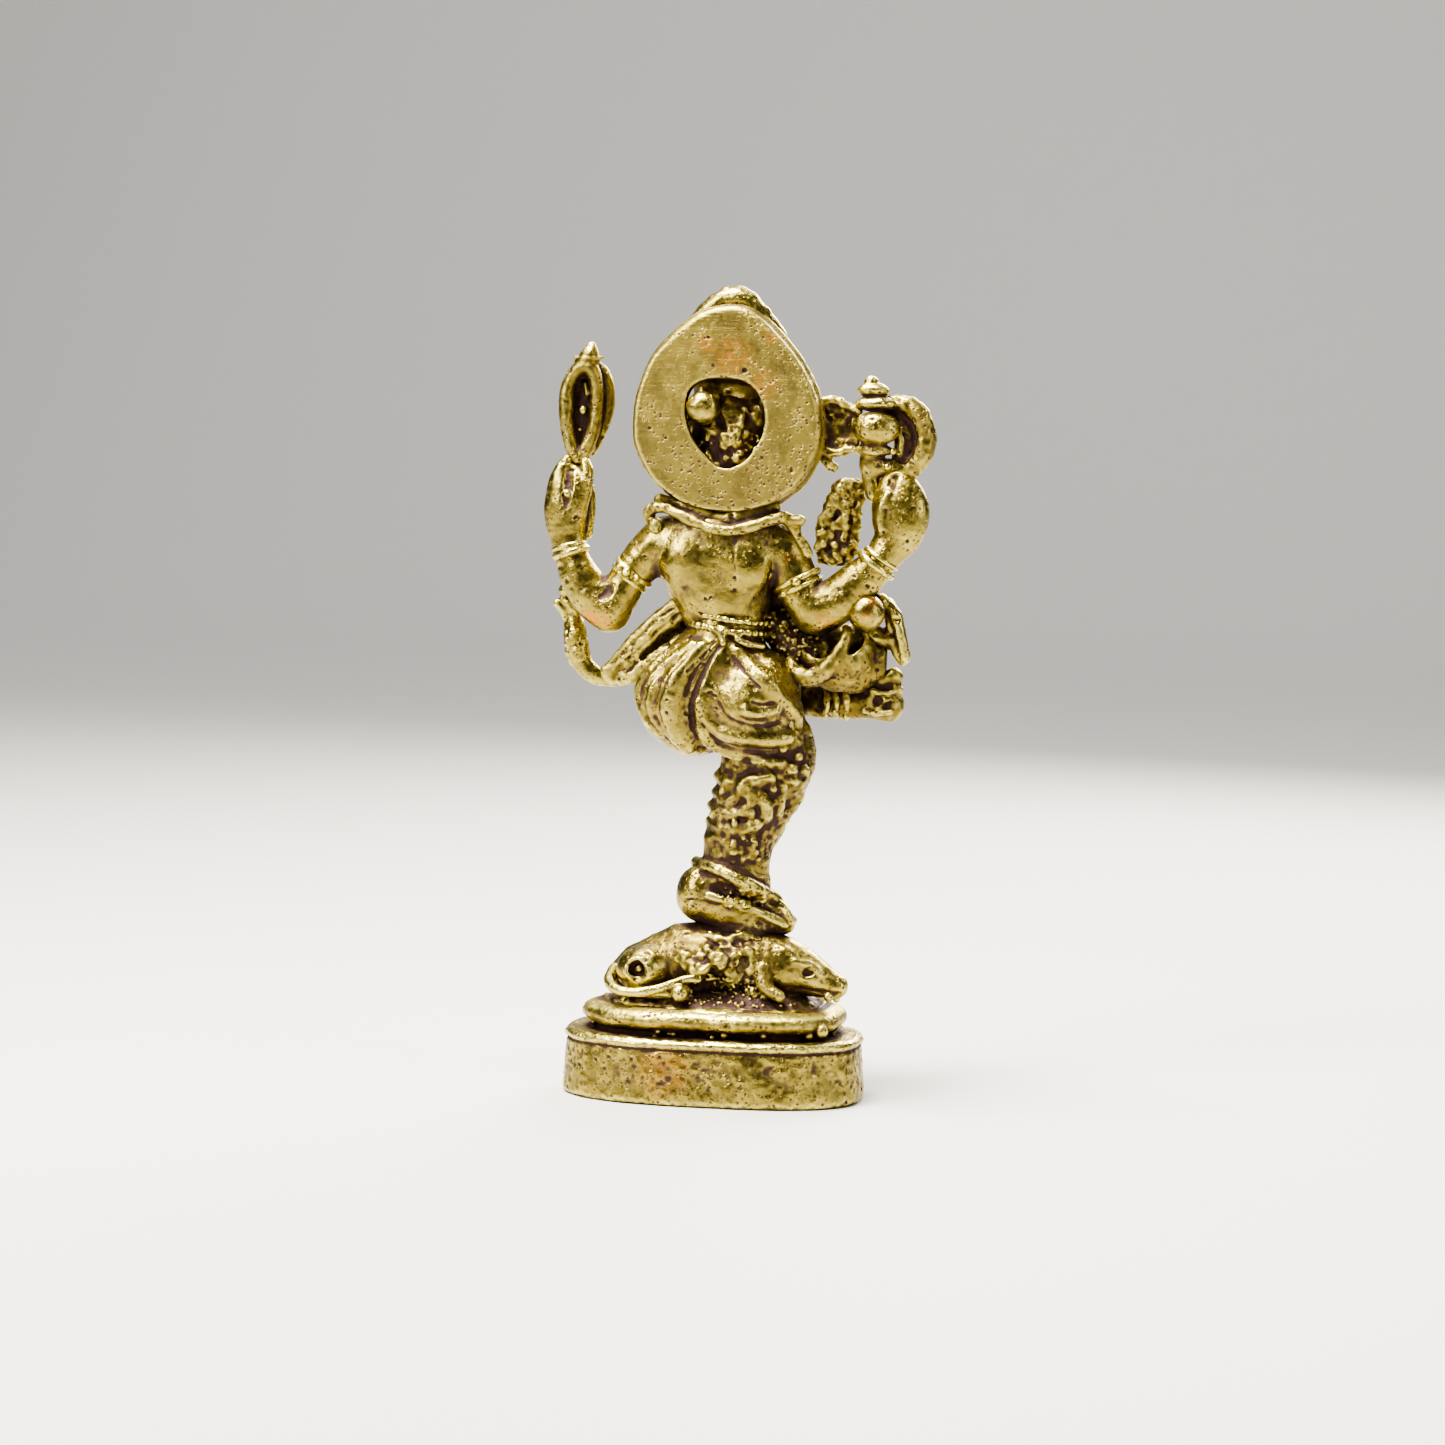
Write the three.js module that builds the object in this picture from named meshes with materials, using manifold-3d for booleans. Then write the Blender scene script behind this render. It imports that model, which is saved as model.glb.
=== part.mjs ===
// A small cast brass figurine: a four-armed, elephant-headed dancer on one leg, on the back of a rat,
// on an oval stepped base, with a leaf-shaped halo behind the head.
// Millimetres, +Z up. The figure faces -Y, its left side is +X, and z = 0 is the flat underside of
// the base.
import * as THREE from "three";
import { mergeVertices } from "three/addons/utils/BufferGeometryUtils.js";
import Module from "manifold-3d";

const wasm = await Module();
wasm.setup();

// Driving dimensions
const BASE_WIDTH = 13.2;
const BASE_DEPTH_SHARE = 0.62; // depth of the oval base over its width
const BASE_SQUARENESS = 2.6; // 2 is an ellipse, more is squarer
const DRUM_HEIGHT = 2.2;
const RIM_HEIGHT = 0.62;
const STEP_TOP = 3.95; // top of the upper step, where the ground under the rat begins
const HALO_BACK = 1.65; // y of the flat back of the halo
const HALO_THICKNESS = 0.95;
const SEAM = 0.06; // left between neighbouring pieces
// The figure's pieces are laid out leaning, and this much x for each z stands it upright.
const STAND = 0.026;

const root = new THREE.Group();
const placed = []; // pieces so far, each also made SEAM larger, to cut their seats in later ones

const brass = (name, colour, roughness) =>
  new THREE.MeshStandardMaterial({ name, color: colour, roughness, metalness: 1 });
const polished = brass("polished_brass", 0xb9a552, 0.32);
const satin = brass("satin_brass", 0xa8964a, 0.45);
const patinated = brass("patinated_brass", 0x6f5a38, 0.6);

const vector = ([x, y, z]) => new THREE.Vector3(x, y, z);

// ---- From geometry to solid and back ----

let stand = 0; // no more than STAND, once the base is made

function solidOf(geometry) {
  const bare = geometry.clone();
  bare.applyMatrix4(new THREE.Matrix4().makeShear(0, 0, 0, 0, stand, 0));
  bare.deleteAttribute("normal");
  bare.deleteAttribute("uv");
  const merged = mergeVertices(bare, 1e-4);
  return new wasm.Manifold(
    new wasm.Mesh({
      numProp: 3,
      vertProperties: new Float32Array(merged.attributes.position.array),
      triVerts: new Uint32Array(merged.index.array),
    }),
  );
}

function geometryOf(solid) {
  const mesh = solid.getMesh();
  const geometry = new THREE.BufferGeometry();
  geometry.setAttribute("position", new THREE.BufferAttribute(new Float32Array(mesh.vertProperties), 3));
  geometry.setIndex(new THREE.BufferAttribute(new Uint32Array(mesh.triVerts), 1));
  geometry.computeVertexNormals();
  return geometry;
}

const joined = (solids) => solids.reduce((all, one) => all.add(one));

function largestPart(solid) {
  return solid.decompose().sort((a, b) => b.volume() - a.volume())[0];
}

const boxesMeet = (a, b) => [0, 1, 2].every((i) => a.min[i] <= b.max[i] && b.min[i] <= a.max[i]);

// Adds a piece. make(grow) returns its solid, larger all round by grow. Pieces placed earlier keep
// their shape,
// and this one is cut back to SEAM from them.
function place(name, material, make) {
  let solid = make(0);
  const box = solid.boundingBox();
  for (const other of placed) if (boxesMeet(box, other.box)) solid = solid.subtract(other.grown);
  solid = largestPart(solid);
  const grown = make(SEAM);
  placed.push({ grown, box: grown.boundingBox() });
  const mesh = new THREE.Mesh(geometryOf(solid), material);
  mesh.name = name;
  root.add(mesh);
}

// ---- Shapes ----

// A limb: a turned profile bent along a smooth curve. stations are [x, y, z, radius];
// keep squeezes every section along the given axis.
function limb(stations, grow = 0, { around = 8, steps = 2, axis = [0, 1, 0], keep = 1 } = {}) {
  const curve = new THREE.CatmullRomCurve3(stations.map(vector), false, "centripetal");
  const length = curve.getLength();
  const segments = steps * (stations.length - 1);
  const frames = curve.computeFrenetFrames(segments);
  const radiusAt = (u) => {
    const t = curve.getUtoTmapping(u) * (stations.length - 1);
    const i = Math.min(Math.floor(t), stations.length - 2);
    const blend = THREE.MathUtils.smoothstep(t - i, 0, 1);
    return THREE.MathUtils.lerp(stations[i][3], stations[i + 1][3], blend) + grow;
  };
  const [first, last] = [radiusAt(0), radiusAt(1)];
  const profile = [new THREE.Vector2(0, -first)]; // radius against distance along the curve
  const capAngles = [Math.PI / 4];
  for (const a of capAngles) profile.push(new THREE.Vector2(first * Math.sin(a), -first * Math.cos(a)));
  for (let i = 0; i <= segments; i++)
    profile.push(new THREE.Vector2(radiusAt(i / segments), (length * i) / segments));
  for (const a of [...capAngles].reverse())
    profile.push(new THREE.Vector2(last * Math.sin(a), length + last * Math.cos(a)));
  profile.push(new THREE.Vector2(0, length + last));

  const geometry = new THREE.LatheGeometry(profile, around);
  const squeeze = vector(axis).normalize();
  const position = geometry.attributes.position;
  for (let i = 0; i < position.count; i++) {
    const along = position.getY(i);
    const u = THREE.MathUtils.clamp(along / length, 0, 1);
    const frame = Math.round(u * segments);
    const offset = new THREE.Vector3()
      .addScaledVector(frames.binormals[frame], position.getX(i))
      .addScaledVector(frames.normals[frame], position.getZ(i))
      .addScaledVector(frames.tangents[frame], along - u * length);
    offset.addScaledVector(squeeze, (keep - 1) * offset.dot(squeeze));
    const at = curve.getPointAt(frame / segments).add(offset);
    position.setXYZ(i, at.x, at.y, at.z);
  }
  return solidOf(geometry);
}

function ball(centre, radii, grow = 0, { turn = [0, 0, 0], around = 10, rings = 7 } = {}) {
  const geometry = new THREE.SphereGeometry(1, around, rings);
  geometry.scale(...radii.map((r) => r + grow));
  placeGeometry(geometry, centre, turn);
  return solidOf(geometry);
}

function placeGeometry(geometry, centre, turn = [0, 0, 0]) {
  const angles = new THREE.Euler(...turn.map(THREE.MathUtils.degToRad));
  geometry.applyMatrix4(new THREE.Matrix4().makeRotationFromEuler(angles));
  geometry.translate(...centre);
}

// A ring of round section about an axis, such as a bangle.
function ring(centre, axis, radius, thickness, grow = 0, { around = 12, section = 5 } = {}) {
  const geometry = new THREE.TorusGeometry(radius, thickness + grow, section, around);
  const turned = new THREE.Quaternion().setFromUnitVectors(new THREE.Vector3(0, 0, 1),
    vector(axis).normalize());
  geometry.applyQuaternion(turned);
  geometry.translate(...centre);
  return solidOf(geometry);
}

// A turned shape stretched into the base's squarish oval. profile is [half width, z] from axis to axis.
function ovalTurned(profile, grow = 0, { around = 32 } = {}) {
  const geometry = new THREE.LatheGeometry(profile.map(([r, z]) => new THREE.Vector2(r, z)), around);
  geometry.rotateX(Math.PI / 2);
  const position = geometry.attributes.position;
  for (let i = 0; i < position.count; i++) {
    const [x, y, z] = [position.getX(i), position.getY(i), position.getZ(i)];
    const r = Math.hypot(x, y);
    const [c, s] = r > 0 ? [x / r, y / r] : [1, 0];
    const power = BASE_SQUARENESS;
    const reach = (Math.abs(c) ** power + Math.abs(s) ** power) ** (-1 / power);
    const wide = r > 0 ? r + grow : 0;
    const deep = r > 0 ? r * BASE_DEPTH_SHARE + grow : 0;
    position.setXYZ(i, wide * reach * c, deep * reach * s, z);
  }
  return solidOf(geometry);
}

// A flat plate of an outline in the X-Z plane, with rounded edges, centred on y.
function plate(outline, y, thickness, bevel, grow = 0) {
  const geometry = new THREE.ExtrudeGeometry(new THREE.Shape(outline), {
    depth: thickness - 2 * bevel,
    bevelThickness: bevel + grow,
    bevelSize: bevel + grow,
    bevelOffset: -bevel,
    bevelSegments: 2,
  });
  geometry.translate(0, 0, bevel - thickness / 2);
  geometry.rotateX(Math.PI / 2);
  geometry.translate(0, y, 0);
  return solidOf(geometry);
}

// A prism of an outline in the X-Z plane, to cut a hole through a plate.
function prism(outline, y, depth) {
  const geometry = new THREE.ExtrudeGeometry(new THREE.Shape(outline), { depth, bevelEnabled: false });
  geometry.rotateX(Math.PI / 2);
  geometry.translate(0, y + depth / 2, 0);
  return solidOf(geometry);
}

// An oval outline in the X-Z plane.
function oval(x, z, halfWidth, halfHeight, count) {
  const points = [];
  for (let i = 0; i < count; i++) {
    const a = (2 * Math.PI * (i + 0.3)) / count;
    points.push(new THREE.Vector2(x + halfWidth * Math.cos(a), z + halfHeight * Math.sin(a)));
  }
  return points;
}

// ---- The base ----

const half = BASE_WIDTH / 2;
const drumTop = DRUM_HEIGHT;
const rimTop = DRUM_HEIGHT + RIM_HEIGHT;

place("base_drum", satin, (g) =>
  ovalTurned(
    [[0, 0 - g], [half - 0.12, 0 - g], [half, 0.18], [half - 0.16, 1.2],
      [half - 0.34, drumTop + g], [0, drumTop + g]],
    g,
  ),
);
place("base_rim", polished, (g) => {
  const edge = half - 0.3;
  const z = drumTop + SEAM - g;
  return ovalTurned(
    [[0, z], [edge - 0.12, z], [edge, z + 0.2], [edge - 0.06, rimTop - 0.15],
      [edge - 0.3, rimTop + g], [0, rimTop + g]],
    g,
  );
});
place("base_neck", patinated, (g) => {
  const z = rimTop + SEAM - g;
  return ovalTurned([[0, z], [5.35, z], [5.2, 3.05 + g], [0, 3.05 + g]], g);
});
place("base_step", polished, (g) => {
  const z = 3.05 + SEAM - g;
  return ovalTurned(
    [[0, z], [5.45, z], [5.72, 3.3], [5.74, 3.55], [5.6, 3.82], [5.3, STEP_TOP + g], [0, STEP_TOP + g]],
    g,
  );
});
place("base_ground", patinated, (g) => {
  const z = STEP_TOP + SEAM - g;
  return ovalTurned([[0, z], [5.0, z], [4.6, 4.3], [3.4, 4.62 + g], [0, 4.7 + g]], g, { around: 32 });
});

stand = STAND;

// ---- The rat, looking to the figure's right ----

place("rat_body", satin, (g) =>
  limb([[3.2, 0.1, 5.55, 1.25], [1.4, 0.1, 5.85, 1.42], [-0.8, 0.1, 5.9, 1.4],
    [-2.6, 0.1, 5.7, 1.2]], g, { around: 10, keep: 1.35 }),
);
place("rat_head", polished, (g) =>
  joined([
    limb([[-3.2, 0.2, 5.75, 1.0], [-4.1, 0.2, 5.45, 0.86], [-4.9, 0.2, 5.1, 0.55],
      [-5.4, 0.2, 4.95, 0.32]], g),
    ...[1, -1].map((side) =>
      ball([-3.5, side * 0.7 + 0.2, 6.45], [0.45, 0.22, 0.5], g, { turn: [side * -25, 0, 0],
        around: 8, rings: 6 }),
    ),
  ]),
);
for (const [side, hand] of [[1, "right"], [-1, "left"]]) {
  place(`rat_${hand}_haunch`, polished, (g) =>
    joined([
      ball([3.2, side * 1.75, 5.6], [1.45, 0.7, 1.2], g),
      limb([[4.2, side * 2.1, 4.75, 0.3], [2.6, side * 2.4, 4.75, 0.27],
        [0.9, side * 2.45, 4.95, 0.22]], g, { around: 7 }),
    ]),
  );
  place(`rat_${hand}_foreleg`, satin, (g) =>
    limb([[-2.2, side * 1.5, 5.7, 0.55], [-2.0, side * 1.95, 5.2, 0.4],
      [-2.7, side * 2.15, 4.85, 0.28]], g, { around: 7 }),
  );
}
place("rat_tail", polished, (g) =>
  limb([[4.6, 0.4, 5.3, 0.24], [5.0, 1.2, 4.75, 0.22], [4.55, 2.2, 4.45, 0.2],
    [3.4, 2.85, 4.28, 0.17]], g, { around: 7 }),
);
place("rat_saddle", satin, (g) =>
  limb([[1.2, 0.1, 5.98, 1.5], [-0.3, 0.1, 6.02, 1.56], [-1.8, 0.1, 5.92, 1.46]],
    g, { around: 10, keep: 1.35 }),
);

// ---- The leg it stands on ----

place("standing_foot", polished, (g) =>
  limb([[0.7, 0.7, 8.2, 0.85], [-0.8, 0.5, 8.3, 0.95], [-2.2, -0.1, 8.05, 0.78],
    [-3.1, -0.6, 7.8, 0.5]], g),
);
place("standing_ankle", satin, (g) =>
  limb([[-0.7, 0.4, 9.1, 1.2], [-1.0, 0.2, 10.2, 1.3]], g),
);
place("standing_anklet", polished, (g) =>
  joined([0, 1].map((i) => ring([-0.75 - 0.1 * i, 0.35, 9.25 + 0.4 * i], [0.35, 0, 1], 1.3, 0.2, g))),
);
place("standing_shin", patinated, (g) =>
  limb([[-1.1, 0.15, 10.95, 1.4], [-1.6, 0, 12.2, 1.75], [-2.1, -0.3, 13.6, 1.9]], g, { around: 10 }),
);
place("standing_thigh", patinated, (g) =>
  limb([[-2.4, -0.3, 14.2, 1.9], [-2.0, 0, 15.8, 2.1]], g, { around: 10 }),
);

// ---- The raised leg, crossing in front to the figure's right ----

place("raised_thigh", satin, (g) =>
  limb([[1.6, -1.0, 17.6, 1.7], [1.5, -2.8, 18.0, 1.45], [0.9, -4.0, 18.6, 1.15]], g, { around: 10 }),
);
place("raised_shin", satin, (g) =>
  limb([[-0.3, -3.9, 18.5, 1.0], [-2.6, -3.0, 17.9, 0.95], [-4.6, -2.0, 17.4, 0.8]], g),
);
place("raised_anklet", polished, (g) => ring([-5.3, -1.6, 17.3], [-0.9, 0.5, -0.2], 0.72, 0.2, g));
place("raised_foot", polished, (g) =>
  joined([
    limb([[-5.2, -1.65, 17.3, 0.62], [-6.4, -1.0, 17.15, 0.7], [-7.6, -0.7, 17.3, 0.78]], g),
    limb([[-7.6, -0.7, 17.3, 0.7], [-7.8, -0.8, 18.5, 0.5]], g),
  ]),
);

// ---- Hips, belt, trunk of the body ----

place("dhoti", satin, (g) =>
  joined([
    ball([1.15, 0.1, 17.7], [2.3, 2.1, 2.9], g, { turn: [0, 12, 0], around: 12, rings: 8 }),
    ball([-1.8, 0.2, 17.3], [2.3, 2.3, 2.75], g, { turn: [0, -8, 0], around: 12, rings: 8 }),
    limb([[-0.6, -0.2, 18.6, 2.1], [-0.6, -0.3, 20.1, 1.75]], g, { around: 10 }),
  ]),
);
place("belt", polished, (g) => ring([-0.6, -0.35, 20.75], [0.12, 0, 1], 1.75, 0.4, g, { around: 16 }));
place("belt_knot", polished, (g) => ball([-0.4, 1.75, 20.4], [0.5, 0.4, 0.5],
  g, { around: 8, rings: 6 }));
place("torso", satin, (g) =>
  joined([
    limb([[-0.65, -0.4, 20.4, 1.65], [-0.5, -0.4, 22.4, 2.1], [-0.3, -0.2, 24.0, 2.35]],
      g, { around: 10 }),
    limb([[2.2, 0.1, 24.3, 1.15], [-0.3, 0, 24.7, 1.4], [-2.8, 0.1, 24.1, 1.15]], g, { around: 10 }),
    ball([-0.6, -1.6, 21.9], [2.0, 1.7, 1.9], g, { around: 10 }),
  ]),
);
place("necklace", polished, (g) => ring([-0.4, -0.5, 25.2], [0.05, -0.55, 1],
  1.95, 0.22, g, { around: 14 }));
place("scarf", patinated, (g) =>
  limb([[0.9, 0.4, 21.6, 0.55], [2.0, 0.6, 20.3, 0.6], [3.4, 0.3, 18.9, 0.6],
    [4.3, -0.1, 18.3, 0.45]], g, { keep: 0.6 }),
);

// ---- Rear arms ----

place("left_rear_arm", polished, (g) =>
  joined([
    limb([[2.5, 0.25, 24.0, 1.05], [3.7, 0.3, 22.6, 0.98], [4.75, 0.3, 21.2, 0.9]], g),
    limb([[4.85, 0.3, 21.25, 0.85], [5.6, 0.3, 22.4, 0.9], [6.3, 0.2, 23.5, 0.72]], g),
  ]),
);
place("left_rear_armlet", polished, (g) => ring([3.85, 0.3, 22.9], [-0.7, 0, 0.8], 1.02, 0.17, g));
place("left_rear_bangle", polished, (g) => ring([6.35, 0.2, 24.0], [0.5, -0.05, 0.85], 0.8, 0.17, g));
place("left_rear_hand", polished, (g) =>
  limb([[6.55, 0.15, 24.6, 0.68], [6.75, 0.1, 25.8, 0.9], [6.0, 0, 27.4, 0.55]], g, { keep: 0.8 }),
);
place("right_rear_arm", polished, (g) =>
  joined([
    limb([[-3.2, 0.25, 23.8, 1.05], [-3.9, 0.3, 22.4, 1.0], [-4.55, 0.35, 21.2, 0.95]], g),
    limb([[-4.65, 0.35, 21.15, 0.9], [-5.9, 0.35, 22.1, 0.95], [-7.1, 0.25, 23.2, 0.78]], g),
  ]),
);
place("right_rear_armlet", polished, (g) => ring([-4.0, 0.3, 22.5], [0.4, 0, 0.9], 1.05, 0.17, g));
place("right_rear_bangle", polished, (g) => ring([-7.2, 0.25, 23.55], [-0.7, -0.05, 0.7], 0.88, 0.18, g));
place("right_rear_hand", polished, (g) =>
  limb([[-7.6, 0.2, 24.15, 0.8], [-8.1, 0.15, 25.4, 1.15], [-8.1, 0, 26.6, 0.8]], g, { keep: 0.75 }),
);

// ---- What the rear hands hold ----

place("noose", polished, (g) =>
  joined([
    plate(oval(5.75, 30.0, 1.1, 2.3, 14),
      0, 1.0, 0.3, g).subtract(prism(oval(5.8, 29.9, 0.34 - g, 1.45 - g, 12), 0, 2)),
    ball([5.5, 0, 32.5], [0.55, 0.45, 0.45], g, { around: 8, rings: 6 }),
    ball([5.45, 0, 33.0], [0.28, 0.28, 0.35], g, { around: 8, rings: 6 }),
  ]),
);
place("axe_stem", patinated, (g) => limb([[-7.5, 0, 26.9, 0.4], [-7.0, 0, 27.7, 0.42],
  [-7.0, 0, 28.4, 0.5]], g, { around: 7 }));
place("axe_bulb", polished, (g) => ball([-7.15, 0.2, 29.4], [1.05, 0.85, 0.78], g));
place("axe_finial", polished, (g) =>
  joined([ball([-6.95, 0.1, 30.55], [0.85, 0.65, 0.5],
    g, { around: 10, rings: 6 }), ball([-6.95, 0.1, 31.2], [0.55, 0.5, 0.5],
    g, { around: 8, rings: 6 })]),
);
place("axe_hook", polished, (g) =>
  limb([[-7.6, 0, 30.5, 0.35], [-8.8, 0, 30.2, 0.45], [-9.2, 0, 29.0, 0.5], [-8.7, 0, 27.9, 0.42]],
    g, { around: 7 }),
);
place("axe_blade", patinated, (g) =>
  joined([
    limb([[-6.3, 0, 29.4, 0.6], [-5.2, 0.05, 29.5, 0.95], [-4.6, 0.1, 29.4, 0.95]], g, { keep: 0.6 }),
    limb([[-6.4, 0, 28.5, 0.35], [-5.5, 0.05, 28.0, 0.4]], g, { around: 7 }),
  ]),
);
place("tassel", satin, (g) =>
  limb([[-6.0, -0.3, 26.9, 0.35], [-5.6, -0.3, 25.6, 0.75], [-5.0, -0.25, 24.0, 0.6]], g, { keep: 0.75 }),
);

// ---- Front arms ----

place("left_front_arm", satin, (g) =>
  limb([[2.4, -1.4, 23.3, 0.95], [3.3, -2.1, 21.4, 0.85], [3.9, -1.9, 19.6, 0.8],
    [4.6, -1.0, 18.5, 0.62], [5.6, -0.6, 18.9, 0.5]], g),
);
place("left_front_hand", polished, (g) =>
  limb([[5.9, -0.5, 19.3, 0.48], [6.25, -0.4, 20.3, 0.6], [6.35, -0.3, 21.3, 0.4]], g, { around: 7 }),
);
place("left_front_sweet", polished, (g) => ball([6.6, -0.3, 22.0], [0.42, 0.4, 0.36],
  g, { around: 8, rings: 6 }));
place("right_front_arm", satin, (g) =>
  limb([[-2.8, -1.4, 23.2, 0.95], [-3.7, -2.2, 21.4, 0.85], [-4.6, -2.2, 19.9, 0.8],
    [-6.2, -1.4, 20.1, 0.62], [-7.2, -0.7, 20.6, 0.5]], g),
);
place("right_front_hand", polished, (g) =>
  limb([[-7.7, -0.5, 21.3, 0.42], [-8.0, -0.35, 20.3, 0.48], [-8.3, -0.2, 19.3, 0.36]], g, { around: 7 }),
);
place("bowl", satin, (g) => {
  const wall = 0.3;
  const profile = [[0, -1.55 - g], [0.9, -1.3 - g], [1.5 + g, -0.6], [1.75 + g, 0.1 + g],
    [1.75 - wall - g, 0.1 + g], [1.2 - g, -0.5 + g], [0.6 - g, -1.0 + g], [0, -1.15 + g]];
  const points = profile.map(([r, z]) => new THREE.Vector2(Math.max(r, 0), z));
  const geometry = new THREE.LatheGeometry(points, 14);
  geometry.rotateX(Math.PI / 2);
  placeGeometry(geometry, [-5.3, -0.2, 19.5], [25, -28, 0]);
  return solidOf(geometry);
});
place("bowl_sweet", polished, (g) => ball([-6.7, 0.55, 21.15], [0.85, 0.85, 0.85], g));

// ---- Halo and head ----

place("halo", polished, (g) => {
  const rim = [
    [-0.9, 25.45], [1.25, 25.9], [2.75, 27.2], [3.2, 28.7], [2.9, 30.4], [1.8, 32.6], [0.2, 34.1],
    [-1.4, 34.6], [-3.3, 33.5], [-4.3, 31.6], [-4.9, 29.1], [-4.6, 27.4], [-3.3, 25.95],
  ];
  const edge = new THREE.CatmullRomCurve3(rim.map(([x, z]) => new THREE.Vector3(x, z, 0)), true);
  const outline = edge.getPoints(26).slice(0, -1).map((p) => new THREE.Vector2(p.x, p.y));
  const middle = HALO_BACK - HALO_THICKNESS / 2;
  const hole = oval(-0.7, 29.2, 1.72 - g, 2.02 - g, 16);
  return plate(outline, middle, HALO_THICKNESS, 0.3, g).subtract(prism(hole, middle, 3));
});
place("head", satin, (g) =>
  joined([
    ball([-0.6, -1.1, 28.8], [2.3, 1.75, 2.35], g, { around: 12, rings: 8 }),
    limb([[-0.5, -0.5, 27.4, 1.6], [-0.4, -0.4, 26.0, 1.4]], g, { around: 10 }),
  ]),
);
place("halo_boss", polished, (g) => ball([0.25, 0.95, 30.05], [0.7, 0.7, 0.7],
  g, { around: 10, rings: 7 }));
place("crown", polished, (g) => {
  const profile = [[0, 0], [2.0, 0], [2.0, 0.55], [1.6, 0.75], [1.7, 1.4], [1.2, 1.7], [1.2, 2.4],
    [0.75, 2.7], [0.7, 3.3], [0.3, 3.6], [0.25, 4.3], [0, 4.5]];
  const points = profile.map(([r, z], i) => new THREE.Vector2(r > 0 ? r + g : 0, z + (i < 2 ? -g : g)));
  const geometry = new THREE.LatheGeometry(points, 12);
  geometry.rotateX(Math.PI / 2);
  placeGeometry(geometry, [-0.75, -1.15, 30.7], [0, -2, 0]);
  return solidOf(geometry);
});
place("left_ear", satin, (g) => ball([2.2, -0.75, 28.7], [1.55, 0.4, 1.95], g, { turn: [0, 12, -18] }));
place("right_ear", satin, (g) => ball([-3.3, -0.75, 28.7], [1.55, 0.4, 1.95], g, { turn: [0, -12, 18] }));
place("trunk", satin, (g) =>
  limb([[-0.55, -2.6, 28.3, 0.95], [-0.6, -3.4, 26.8, 0.82], [-0.8, -3.9, 25.0, 0.68],
    [-1.5, -4.2, 23.7, 0.55], [-2.6, -4.2, 23.3, 0.45], [-3.2, -4.1, 23.9, 0.36]], g),
);
place("tusk", polished, (g) => limb([[-1.55, -2.9, 27.6, 0.28], [-1.9, -3.8, 27.1, 0.18]],
  g, { around: 7 }));

export default root;
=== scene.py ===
import math
import time

import bpy
import numpy as np
import openvdb
from mathutils import Matrix, Vector


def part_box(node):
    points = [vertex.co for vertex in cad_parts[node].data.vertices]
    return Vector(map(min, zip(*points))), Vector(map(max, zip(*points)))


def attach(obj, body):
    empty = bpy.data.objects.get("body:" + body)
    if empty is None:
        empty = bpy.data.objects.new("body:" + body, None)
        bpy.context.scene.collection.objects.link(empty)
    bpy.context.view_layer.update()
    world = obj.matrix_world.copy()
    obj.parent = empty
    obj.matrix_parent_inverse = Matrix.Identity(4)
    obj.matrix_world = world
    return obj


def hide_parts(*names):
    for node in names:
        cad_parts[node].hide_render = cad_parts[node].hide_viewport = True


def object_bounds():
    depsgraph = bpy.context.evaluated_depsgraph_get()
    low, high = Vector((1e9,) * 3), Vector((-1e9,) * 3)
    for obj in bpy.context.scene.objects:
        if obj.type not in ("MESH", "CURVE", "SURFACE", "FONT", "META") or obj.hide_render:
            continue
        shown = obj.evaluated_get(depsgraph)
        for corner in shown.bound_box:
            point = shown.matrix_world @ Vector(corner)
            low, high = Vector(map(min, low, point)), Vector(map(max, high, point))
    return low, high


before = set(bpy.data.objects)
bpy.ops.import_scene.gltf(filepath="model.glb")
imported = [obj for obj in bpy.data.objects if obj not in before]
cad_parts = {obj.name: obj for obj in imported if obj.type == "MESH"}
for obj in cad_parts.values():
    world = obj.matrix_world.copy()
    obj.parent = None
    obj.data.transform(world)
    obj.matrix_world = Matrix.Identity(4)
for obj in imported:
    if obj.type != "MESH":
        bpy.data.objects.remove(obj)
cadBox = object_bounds()
startTime = time.time()

# All shapes are in millimetres, as the CAD part is; meshes are turned to metres at the end.
# +Y is the figure's back, +X its left hand, +Z up.
mm = 0.001
voxel = 0.06
far = 1.2
cadLow = {name: np.array(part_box(name)[0]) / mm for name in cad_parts}
cadHigh = {name: np.array(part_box(name)[1]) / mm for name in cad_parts}


# The figure was cast from hand-worked wax, where rolls, drops and beads melt into each other.
# So each piece is a block of space holding the distance to its surface, and the mesh is where that is
# zero.

def newWax(nodes, room):
    # an empty block round some CAD nodes; its corner lies on a shared lattice, so that blocks line up
    low = np.min([cadLow[name] for name in nodes], axis=0) - room
    high = np.max([cadHigh[name] for name in nodes], axis=0) + room
    pitch = 2 * voxel
    first = np.floor(low / pitch) * pitch
    count = np.ceil((high - first) / pitch).astype(int) * 2 + 1
    return {"nodes": nodes, "first": first, "count": count, "field": np.full(count, far, np.float32)}


def window(wax, low, high):
    # the part of the block between two corners: its slices and its x, y and z as thin arrays
    start = np.clip(np.floor((np.array(low) - wax["first"]) / voxel).astype(int), 0, wax["count"])
    stop = np.clip(np.ceil((np.array(high) - wax["first"]) / voxel).astype(int) + 1, 0, wax["count"])
    if (stop <= start).any():
        return None
    x, y, z = [(wax["first"][k] + voxel * np.arange(start[k],
        stop[k])).astype(np.float32) for k in range(3)]
    cut = tuple(slice(a, b) for a, b in zip(start, stop))
    return cut, x[:, None, None], y[None, :, None], z[None, None, :]


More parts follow.
